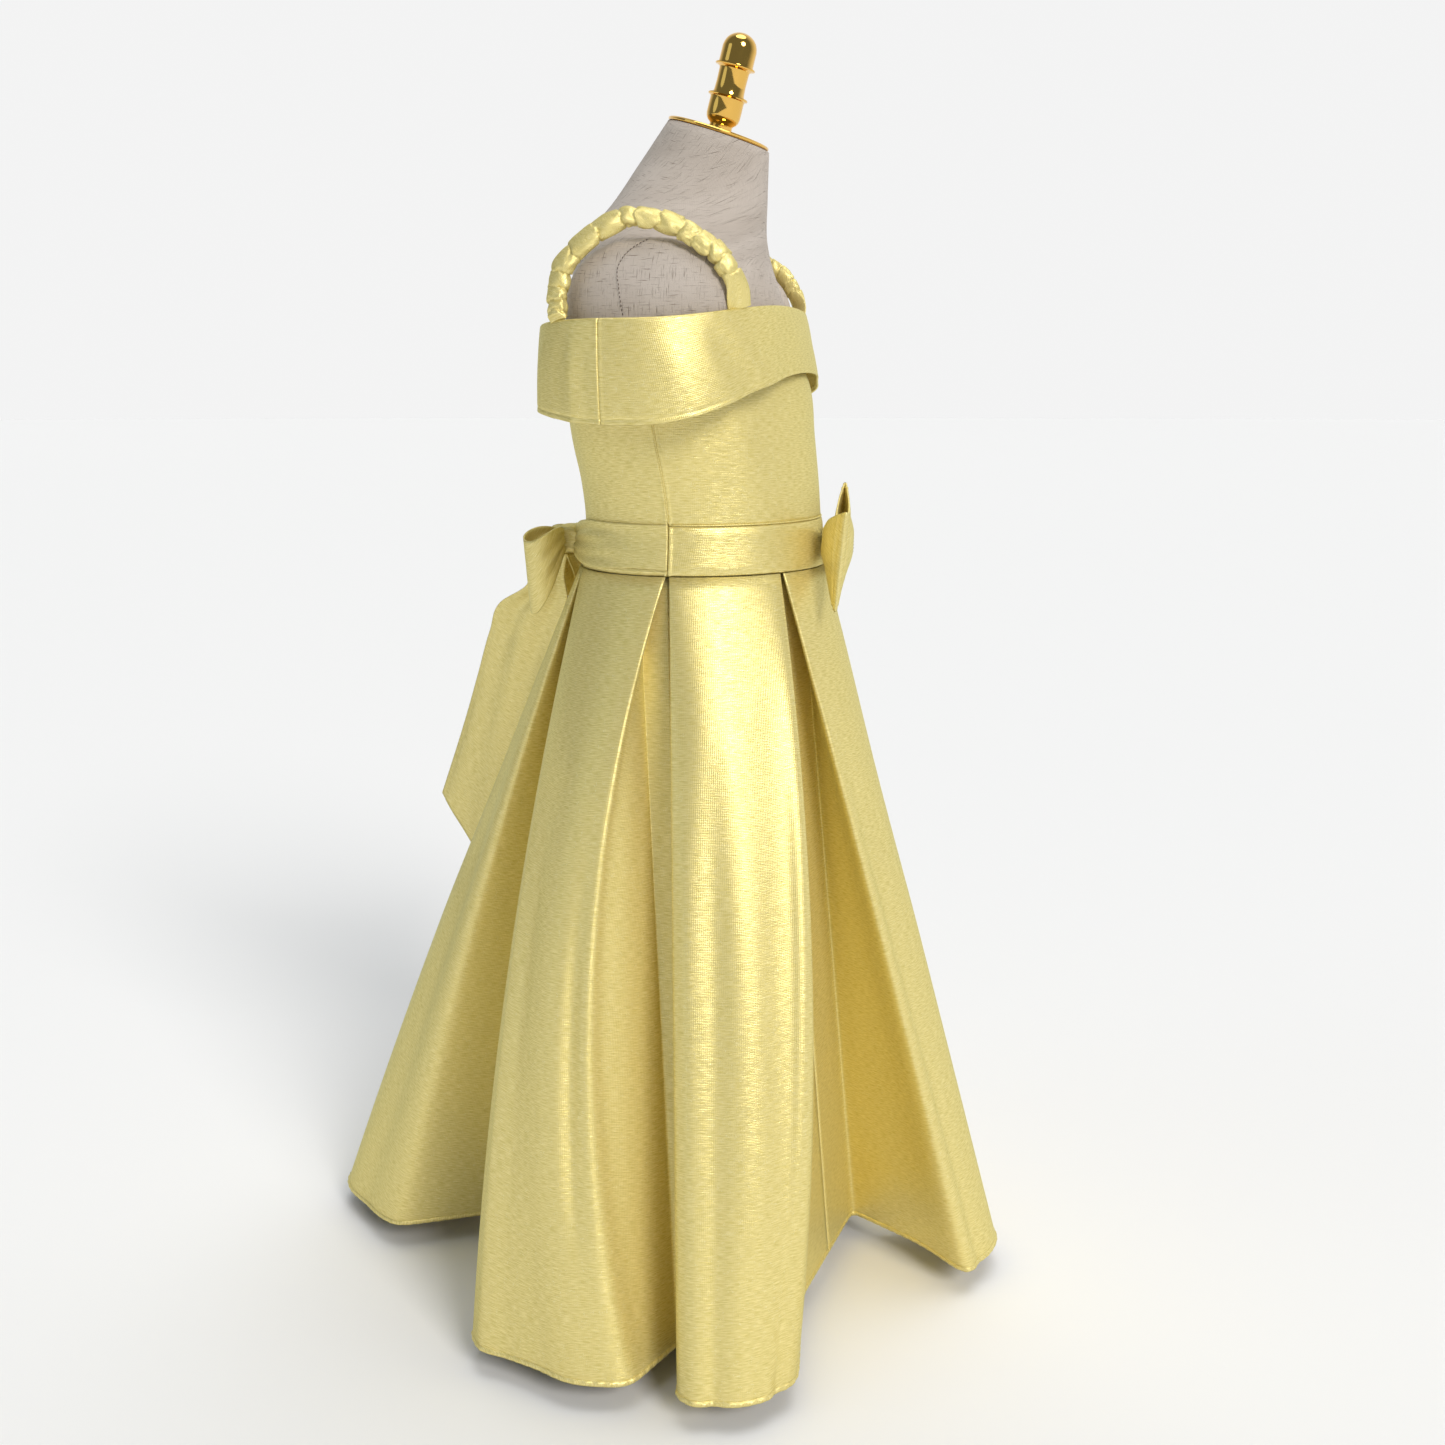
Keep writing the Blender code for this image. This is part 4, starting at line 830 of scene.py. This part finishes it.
# Tails from the knot down: height, x, y, heading in degrees and width
LEFT_TAIL = (
    (0.5282, 0.0000, 0.1000, 90.0, 0.0234),
    (0.5110, 0.0060, 0.1060, 84.0, 0.0280),
    (0.4966, 0.0090, 0.1070, 80.0, 0.0330),
    (0.4766, 0.0227, 0.1248, 74.0, 0.0540),
    (0.4450, 0.0398, 0.1413, 69.0, 0.0570),
    (0.3947, 0.0590, 0.1620, 66.0, 0.0550),
    (0.3533, 0.0680, 0.1754, 64.0, 0.0560),
    (0.2615, 0.0820, 0.2050, 61.0, 0.0560),
)
RIGHT_TAIL = (
    (0.5282, 0.0030, 0.0850, 0.0, 0.0234),
    (0.5110, 0.0240, 0.0855, 2.0, 0.0320),
    (0.4950, 0.0460, 0.0880, -6.0, 0.0460),
    (0.4500, 0.0710, 0.0985, -30.0, 0.0600),
    (0.3900, 0.0940, 0.1060, -40.0, 0.0740),
    (0.3000, 0.1130, 0.1200, -42.0, 0.0780),
)


def block(centre, size, power, columns, rows, wrap=0.0):
    """A rounded block whose radius follows a power of its angles. Where wrapped, three folds of cloth
    run round it."""
    turn = turns(columns)
    lift = np.linspace(-np.pi / 2, np.pi / 2, rows)[:, None]
    ring = np.cos(lift)
    wide = powered(ring, power) * (1 + wrap * np.cos(3 * turn + 5.0 * lift) * ring)
    x = size[0] / 2 * powered(np.cos(turn), power) * wide
    y = size[1] / 2 * powered(np.sin(turn), power) * wide
    return grid(x, y, size[2] / 2 * powered(np.sin(lift), power)) + np.array(centre)


knot = block(KNOT_CENTRE, KNOT_SIZE, KNOT_POWER, 72, 40, KNOT_WRAP)
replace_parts(lump("satin_back_bow_knot", knot, satin), "back_bow_knot")


def bow_loop(loop):
    """A soft loop: it leaves the knot, swells, folds back and returns to it, drooping on the way.
    Creases fan out of the knot and its open edge is a little wavy."""
    share = np.linspace(0, 1, 120)
    out = np.sin(np.pi * share)
    axis = unit(np.array([loop.axis_x, loop.axis_y]))
    normal = np.array([axis[1], -axis[0]])
    root = np.array([loop.side * (KNOT_SIZE[0] / 2 + LOOP_CLEARANCE), KNOT_CENTRE[1] + LOOP_BEHIND])
    across = np.linspace(-1, 1, 30)[:, None]
    crease = np.cos(np.pi * 2.6 * across + 0.8) * (1 - across**4) * (1 - out) ** 0.7
    spread = (0.0030 + 0.0009 * crease) * np.cos(np.pi * share) + loop.swell * np.sin(2 * np.pi * share)
    half = KNOT_SIZE[2] / 2 * 0.7 * (1 - out) + loop.half_height * out
    wave = 0.0010 * np.sin(7 * share)
    height = KNOT_CENTRE[2] - loop.drop * out**1.5 + (half + wave) * across
    reach = loop.length * out + loop.tilt * half * across
    x, y = (root[i] + axis[i] * reach + normal[i] * spread for i in (0, 1))
    obj = cloth(loop.name, grid(x, y, height)[:, ::-1])


def tail(name, rows):
    """A hanging end: a ribbon that turns as it falls, soft folds down its length that fade towards
    the slanted cut, and a stitched line inside each edge."""
    heights, *columns = np.array(rows)[::-1].T
    fallen = (np.linspace(0, 1, 100) ** 1.3)[:, None]
    level = heights[-1] + (heights[0] - heights[-1]) * fallen
    x, y, heading, width = (through(heights, column, level) for column in columns)
    heading = np.radians(heading)
    across = np.linspace(-0.5, 0.5, 60)[None, :]
    fold = 0.0013 * np.cos(2 * np.pi * (2.2 * across + 0.3 * fallen)) * (1 - fallen) ** 0.5
    fold = fold + 0.0011 * np.cos(2 * np.pi * (1.1 * across - 0.6 * fallen + 0.2)) * ease(fallen, 0, 0.3)
    fold = fold - 0.0003 * bell(np.minimum(across + 0.5, 0.5 - across) * width - 0.0035, 0.0006)
    x = x + width * across * np.cos(heading) - fold * np.sin(heading)
    y = y + width * across * np.sin(heading) + fold * np.cos(heading)
    return cloth(name, grid(x, y, level + TAIL_CUT * (across + 0.5) * fallen))


for loop in BACK_LOOPS:
    bow_loop(loop)
made = tail("satin_back_tail_left", LEFT_TAIL)
made = tail("satin_back_tail_right", RIGHT_TAIL)

# The front bow: two stiff flat loops of interfaced satin, the wings, standing off the waistband and
# piped beside their outer folds. A narrow band set with small stones holds the middle.
Wing = namedtuple("Wing", "name side reach outer_y lean z_low z_high swell")
FRONT_WINGS = (
    Wing("satin_front_bow_wing_right", -1, 0.050, -0.1154, -0.0032, 0.4981, 0.5636, 0.0085),
    Wing("satin_front_bow_wing_left", 1, 0.050, -0.1003, -0.0020, 0.5050, 0.5780, 0.0035),
)
WING_HALF_GAP = 0.0026
WING_ROOT_X = 0.0078
WING_ROOT_Y = -0.1060
WING_ROOT_HALF_HEIGHT = 0.0090
WING_PIPING = (0.0016, 0.0052)
BAND_CENTRE = (0.0, -0.1053, 0.5400)
BAND_SIZE = (0.0140, 0.0206, 0.0230)
BAND_POWER = 0.5


def front_wing(wing):
    """A flat loop: its two layers part by a parabola of the reach and meet in a pressed fold at its
    outer end, beside which two lines of piping stand up. Creases run out of its root."""
    share = np.unique(np.concatenate([np.linspace(0, 1, 121), [0.49, 0.495, 0.505, 0.51]]))
    reach = 1 - np.abs(1 - 2 * share)
    across = np.linspace(-1, 1, 41)[:, None]
    layer = np.sign(0.5 - share)
    puff = wing.swell * 4 * reach * (1 - reach) * (1 - 0.5 * across**2) * (1 + 0.4 * across)
    from_edge = (1 - reach) * (wing.reach - WING_ROOT_X)
    for line in WING_PIPING:
        puff = puff + 0.0006 * bell(from_edge - line, 0.0007)
    gap = layer * (WING_HALF_GAP * (1 - reach) + puff)
    crease = 0.0010 * np.cos(np.pi * 2.2 * across + 0.5) * (1 - reach) ** 1.5 * layer
    x = WING_ROOT_X + (wing.reach - WING_ROOT_X) * reach
    outer_y = wing.outer_y + wing.lean * across
    y = WING_ROOT_Y + (outer_y - WING_ROOT_Y) * reach**1.4 + gap + crease * (1 - across**4)
    middle = BAND_CENTRE[2] + ((wing.z_low + wing.z_high) / 2 - BAND_CENTRE[2]) * reach
    half = WING_ROOT_HALF_HEIGHT + ((wing.z_high - wing.z_low) / 2 - WING_ROOT_HALF_HEIGHT) * reach
    obj = cloth(wing.name, grid(wing.side * x, y, middle + half * across))


for wing in FRONT_WINGS:
    front_wing(wing)

silver, tree, feed = finish("silver_setting", (0.62, 0.61, 0.60), {"Metallic": 1.0, "Roughness": 0.22})
tarnish = {"Value": speckle(tree, 600.0), "To Min": 0.12, "To Max": 0.40}
feed("Roughness", node(tree, "MapRange", "Result", tarnish))
carrier = block(BAND_CENTRE, BAND_SIZE, BAND_POWER, 60, 30)
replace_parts(lump("bow_band_setting", carrier, silver), "front_bow_band")

# The stones: small clear brilliants with eight sides, set close together all round the band.
STONE_PITCH = 0.0023
STONE_RADIUS = 0.00105
STONE_RISE = 0.0002
STONE_ROWS = np.linspace(-0.78, 0.78, 9)
crystal, tree, feed = finish("clear_crystal", (0.80, 0.82, 0.85), {"Metallic": 1.0, "Roughness": 0.04})
feed("Base Color", ramp(tree, speckle(tree, 900.0), (0.40, 0.42, 0.46), (1.0, 1.0, 1.0)))
turn = turns(8)
girdle, table = (
    grid(radius * np.cos(turn + twist), radius * np.sin(turn + twist), height)
    for radius, height, twist in ((1.0, 0.0, 0.0), (0.62, 0.52, np.pi / 8))
)
stone = np.concatenate([girdle, table, [[0, 0, -0.5], [0, 0, 0.56]]]) * STONE_RADIUS
here = np.arange(8)
after = (here + 1) % 8
corners = ((here, after, here + 8), (after, after + 8, here + 8))
corners += ((here + 8, after + 8, 0 * here + 17), (after, here, 0 * here + 16))
facets = np.concatenate([np.stack(corner, axis=1) for corner in corners])
ring = np.linspace(0, 2 * np.pi, 721)
places, outs = [], []
for level in STONE_ROWS:
    wide = powered(np.cos(np.arcsin(powered(level, 1 / BAND_POWER))), BAND_POWER)
    x, y = powered(np.cos(ring), BAND_POWER) * wide, powered(np.sin(ring), BAND_POWER) * wide
    oval = grid(x, y, level) * np.array(BAND_SIZE) / 2
    count = int(run_along(oval)[-1] / STONE_PITCH)
    spot = points_at((np.arange(count) + 0.5 * (len(places) % 2)) * STONE_PITCH, oval)
    places.append(spot)
    outs.append(unit(spot**3 / (np.array(BAND_SIZE) / 2) ** 4))
places, outs = np.concatenate(places), np.concatenate(outs)
aside = unit(np.cross(outs, [0.0, 0.0, 1.0]))
frames = np.stack([aside, np.cross(outs, aside), outs], axis=1)
places = places + np.array(BAND_CENTRE) + STONE_RISE * outs
stones = scattered("bow_band_stones", places, frames, stone, facets)
bm = bmesh.new()
bm.from_mesh(stones)
bmesh.ops.recalc_face_normals(bm, faces=bm.faces)
bm.to_mesh(stones)
bm.free()
piece("bow_band_stones", stones, crystal)

# The skirt: six large panels of satin gathered into six inverted box pleats at the waist. The panels
# are seamed together inside the pleats, and the back one has a seam down its middle.
SKIRT_TOP = 0.5237
HEM_HEIGHT = 0.018
PLEAT_HEM_HEIGHT = 0.019
SKIRT_WAIST = DressRow(SKIRT_TOP, 0.1015, -0.0960, 0.0730)
LAYER_PITCH = 0.0024
FLANK = math.radians(16.0)
FOLD_MEETING = math.radians(0.6)
WAIST_FOLD_ROUND = 0.0030
HEM_FOLD_ROUND = 0.0180
# One row for each pleat: its place at the waist, and at the hem the azimuth and the distance from the
# pole of its fold edges a and b and of its floor. Belly, sway and swell bend the lines between
Pleat = namedtuple(
    "Pleat",
    "waist_az a_az a_r a_belly a_sway a_swell floor_az floor_r floor_half b_az b_r b_belly b_sway",
)
PLEATS = (
    Pleat(37, 5.4, 0.212, 0.002, 0.000, 0.012, 7, 0.108, 0.066, 57.4, 0.212, 0.022, -0.008),
    Pleat(90, 78.8, 0.218, 0.006, 0.000, 0.000, 77, 0.160, 0.007, 87.0, 0.208, 0.010, 0.034),
    Pleat(150, 121.6, 0.208, 0.012, 0.004, 0.004, 158, 0.130, 0.048, 168.0, 0.225, 0.008, 0.000),
    Pleat(210, 203.0, 0.268, 0.008, 0.000, 0.006, 216, 0.140, 0.044, 239.0, 0.210, 0.012, 0.000),
    Pleat(270, 261.5, 0.212, 0.010, -0.012, 0.000, 268, 0.158, 0.008, 280.0, 0.216, 0.006, 0.000),
    Pleat(323, 301.0, 0.218, 0.018, 0.006, 0.004, 318, 0.136, 0.050, 336.0, 0.222, 0.006, 0.000),
)
# One row for each panel, the one that ends at the pleat of the same place above: how far its hem
# stands out, how far it stands out at half height, and how deep the middle of its hem is dented
Panel = namedtuple("Panel", "crown belly dent")
PANELS = (
    Panel(0.018, 0.000, 0.000),
    Panel(0.018, 0.010, 0.000),
    Panel(0.017, 0.012, 0.010),
    Panel(0.058, 0.006, 0.000),
    Panel(0.020, 0.012, 0.008),
    Panel(0.024, 0.010, 0.000),
)
# Soft creases: panel, share of its width at the waist and at the hem, the levels between
# which it shows, its half width as a share of the panel, and how far it stands out
CREASES = (
    (0, 0.30, 0.25, 0.10, 1.2, 0.10, -0.0030), (0, 0.55, 0.52, 0.20, 1.2, 0.12, 0.0030),
    (0, 0.78, 0.80, 0.08, 1.2, 0.09, -0.0025), (1, 0.25, 0.20, 0.08, 1.2, 0.10, -0.0030),
    (1, 0.50, 0.42, 0.20, 0.9, 0.09, 0.0025), (1, 0.62, 0.66, 0.12, 1.2, 0.08, -0.0030),
    (1, 0.80, 0.86, 0.15, 1.2, 0.07, 0.0020), (2, 0.22, 0.18, 0.25, 0.9, 0.10, -0.0045),
    (2, 0.45, 0.40, 0.10, 1.2, 0.10, 0.0025), (2, 0.62, 0.66, 0.15, 1.2, 0.09, -0.0035),
    (2, 0.80, 0.84, 0.10, 1.2, 0.07, 0.0020), (3, 0.25, 0.30, 0.15, 1.2, 0.09, -0.0040),
    (3, 0.55, 0.50, 0.20, 1.2, 0.10, 0.0030), (3, 0.75, 0.72, 0.10, 1.2, 0.09, -0.0035),
    (4, 0.20, 0.16, 0.10, 1.2, 0.08, 0.0020), (4, 0.40, 0.36, 0.15, 1.2, 0.09, -0.0035),
    (4, 0.60, 0.62, 0.10, 1.2, 0.10, 0.0025), (4, 0.80, 0.84, 0.25, 0.9, 0.10, -0.0045),
    (5, 0.22, 0.16, 0.15, 1.2, 0.08, 0.0020), (5, 0.40, 0.36, 0.12, 1.2, 0.08, -0.0030),
    (5, 0.74, 0.80, 0.08, 1.2, 0.10, -0.0030),
)
Guide = namedtuple("Guide", "waist hem hem_height belly sway")


def polar(azimuth, radius):
    """A place in plan from its azimuth and its distance from the pole."""
    angle = math.radians(azimuth)
    return np.array([-radius * math.sin(angle), -radius * math.cos(angle)])


def waist_place(angle, layer):
    """A place in plan on the waist seam, on that layer of cloth counted inwards from 0."""
    inward = layer * LAYER_PITCH
    front, back = SKIRT_WAIST.front + inward, SKIRT_WAIST.back - inward
    return np.array(around(SKIRT_WAIST.half_width - inward, front, back, math.degrees(angle)))


def bend(edge, sides, angle, beside, layer, rounding, height, belly=0.0, sway=0.0):
    """Three lines close together round a fold edge: towards one side, on the edge, and towards the
    other side, one layer further in at the waist."""
    waists = ((angle + beside, layer), (angle, layer + 0.5), (angle + beside, layer + 1))
    hems = (edge + rounding * unit(sides[0] - edge), edge, edge + rounding * unit(sides[1] - edge))
    return [Guide(waist_place(*waist), hem, height, belly, sway) for waist, hem in zip(waists, hems)]


def flank(edge, deep, panel, angle, belly, sway, swell):
    """The line down the middle of a pleat's flank."""
    place = (edge + deep) / 2
    place = place + swell * unit(panel - place)
    height = (HEM_HEIGHT + PLEAT_HEM_HEIGHT) / 2
    return [Guide(waist_place(angle, 1), place, height, belly / 2, sway / 2)]


def pleat_guides(pleat, before, after):
    """Lines from waist to hem round one pleat: fold a, its flank, the floor, the other flank, fold b.
    Before and after are the nearest lines of the panels."""
    middle = math.radians(pleat.waist_az)
    step = WAIST_FOLD_ROUND / SKIRT_WAIST.half_width
    edge_a, edge_b = polar(pleat.a_az, pleat.a_r), polar(pleat.b_az, pleat.b_r)
    floor = polar(pleat.floor_az, pleat.floor_r)
    heading = math.radians(pleat.floor_az)
    along = np.array([-math.cos(heading), math.sin(heading)]) * pleat.floor_half
    deep_a, deep_b = floor - along, floor + along
    outer = (HEM_FOLD_ROUND, HEM_HEIGHT)
    inner = (min(HEM_FOLD_ROUND, 0.6 * pleat.floor_half), PLEAT_HEM_HEIGHT)
    a, b = (pleat.a_belly, pleat.a_sway), (pleat.b_belly, pleat.b_sway)
    guides = bend(edge_a, (before, deep_a), middle - FOLD_MEETING, -step, 0, *outer, *a)
    guides += flank(edge_a, deep_a, before, middle - FLANK / 2, *a, pleat.a_swell)
    guides += bend(deep_a, (edge_a, floor), middle - FLANK, step, 1, *inner)
    guides += [Guide(waist_place(middle, 2), floor, PLEAT_HEM_HEIGHT, 0.0, 0.0)]
    guides += bend(deep_b, (edge_b, floor), middle + FLANK, -step, 1, *inner)[::-1]
    guides += flank(edge_b, deep_b, after, middle + FLANK / 2, *b, 0.0)
    guides += bend(edge_b, (after, deep_b), middle + FOLD_MEETING, step, 0, *outer, *b)[::-1]
    return guides


def panel_place(index, share):
    """A place on a panel's hem: on the line between its fold edges, pushed out by a parabola of its
    crown and in by its dent."""
    start = polar(PLEATS[index - 1].b_az, PLEATS[index - 1].b_r)
    end = polar(PLEATS[index].a_az, PLEATS[index].a_r)
    chord = unit(end - start)
    outward = np.array([-chord[1], chord[0]])
    outward = -outward if outward @ (start + end) < 0 else outward
    panel = PANELS[index]
    out = panel.crown * 4 * share * (1 - share) - panel.dent * max(0, 1 - abs(4 * share - 2))
    return start + (end - start) * share + outward * out


def panel_guides(index):
    """Three lines from waist to hem across a panel, leaning as its two fold edges do."""
    before, after = PLEATS[index - 1], PLEATS[index]
    start = before.waist_az + math.degrees(FOLD_MEETING)
    width = (after.waist_az - math.degrees(FOLD_MEETING) - start) % 360
    made = []
    for share in (0.25, 0.5, 0.75):
        waist = waist_place(math.radians(start + width * share), 0)
        sway = before.b_sway + (after.a_sway - before.b_sway) * share
        made.append(Guide(waist, panel_place(index, share), HEM_HEIGHT, PANELS[index].belly, sway))
    return made


guides = []
for index, pleat in enumerate(PLEATS):
    guides += panel_guides(index)
    guides += pleat_guides(pleat, panel_place(index, 0.75), panel_place((index + 1) % 6, 0.25))
BLOCK = len(guides) // len(PLEATS)
CENTRE_BACK = 3 * BLOCK + 1
# Guides from the start of a block to its pleat's floor
FLOOR = 10


def skirt_points(levels, stations):
    """Points of the skirt: each guide falls from waist to hem in a straight line, bowed outwards and
    sideways by a parabola, and a closed cubic B-spline runs across the guides. Creases are bells
    across a panel, moved along the surface's normal."""
    waist, hem, low, belly, sway = (np.array(column) for column in zip(*guides))
    level = np.asarray(levels, float)[:, None, None]
    outward = unit(hem)
    sideways = np.stack([outward[:, 1], -outward[:, 0]], axis=1)
    bow = outward * belly[:, None] + sideways * sway[:, None]
    plan = waist + (hem - waist) * level + 4 * level * (1 - level) * bow
    level = level[:, :, 0]
    lines = np.concatenate([plan, (SKIRT_TOP + (low - SKIRT_TOP) * level)[:, :, None]], axis=2)
    first = np.floor(stations).astype(int)
    f = (stations - first)[None, :, None]
    before, here, after, later = (lines[:, (first + step) % len(guides)] for step in (-1, 0, 1, 2))
    points = (
        (1 - f) ** 3 * before
        + (3 * f**3 - 6 * f**2 + 4) * here
        + (-3 * f**3 + 3 * f**2 + 3 * f + 1) * after
        + f**3 * later
    ) / 6
    out = 0.0
    for panel, at_waist, at_hem, start, end, width, rise in CREASES:
        middle = BLOCK * panel - 2 + 6 * (at_waist + (at_hem - at_waist) * level)
        away = (stations[None, :] - middle + len(guides) / 2) % len(guides) - len(guides) / 2
        shown = ease(level, start, start + 0.35) * (1 - ease(level, end - 0.2, end))
        out = out + rise * bell(away, 6 * width) * shown
    normal = unit(np.cross(np.gradient(points, axis=0), np.gradient(points, axis=1)))
    return points - normal * out[:, :, None]


def skirt(name, start, end):
    """A piece of skirt between two seams, and its narrow rolled hem."""
    stations = np.arange(start + 0.125, end - 0.06, 0.125)
    stations = np.concatenate([[start + 0.003], stations, [end - 0.003]])
    levels = np.concatenate([np.linspace(0, 0.12, 8)[:-1], np.linspace(0.12, 0.98, 46), [0.99, 1.0]])
    obj = cloth(name, skirt_points(levels, stations))
    roll = rolled_hem(name + "_hem", start + 0.01, end - 0.01)


HEM_WIDTH = 0.0042
HEM_HALF_THICKNESS = 0.0014
HEM_OVERHANG = 0.0006
HEM_PUCKER = 0.0075


def rolled_hem(name, start, end):
    """A rolled hem: an oval carried along the skirt's edge, puckered at a slant by its stitches."""
    edge = skirt_points([0.985, 0.9925, 1.0], np.linspace(start, end, int((end - start) * 26)))
    path = edge[2]
    up = unit(edge[0] - path)
    normal = np.cross(unit(np.gradient(path, axis=0)), up)
    run = run_along(path)[:, None]
    turn = turns(10)
    lift = HEM_WIDTH / 2 * (1 + np.cos(turn)) - HEM_OVERHANG
    slant = np.sin(2 * np.pi * run / HEM_PUCKER + 1.6 * np.cos(turn) + 1.1 * np.sin(run * 37))
    thick = HEM_HALF_THICKNESS * (1 + 0.22 * slant) * np.sin(turn)
    rings = path[:, None] + up[:, None] * lift[:, None] + normal[:, None] * thick[:, :, None]
    return lump(name, rings, satin)


skirt("satin_skirt_front", 5 * BLOCK + FLOOR, 6 * BLOCK + FLOOR)
skirt("satin_skirt_right_front", FLOOR, BLOCK + FLOOR)
skirt("satin_skirt_right_back", BLOCK + FLOOR, 2 * BLOCK + FLOOR)
skirt("satin_skirt_back_right", 2 * BLOCK + FLOOR, CENTRE_BACK)
skirt("satin_skirt_back_left", CENTRE_BACK, 3 * BLOCK + FLOOR)
skirt("satin_skirt_left_back", 3 * BLOCK + FLOOR, 4 * BLOCK + FLOOR)
skirt("satin_skirt_left_front", 4 * BLOCK + FLOOR, 5 * BLOCK + FLOOR)
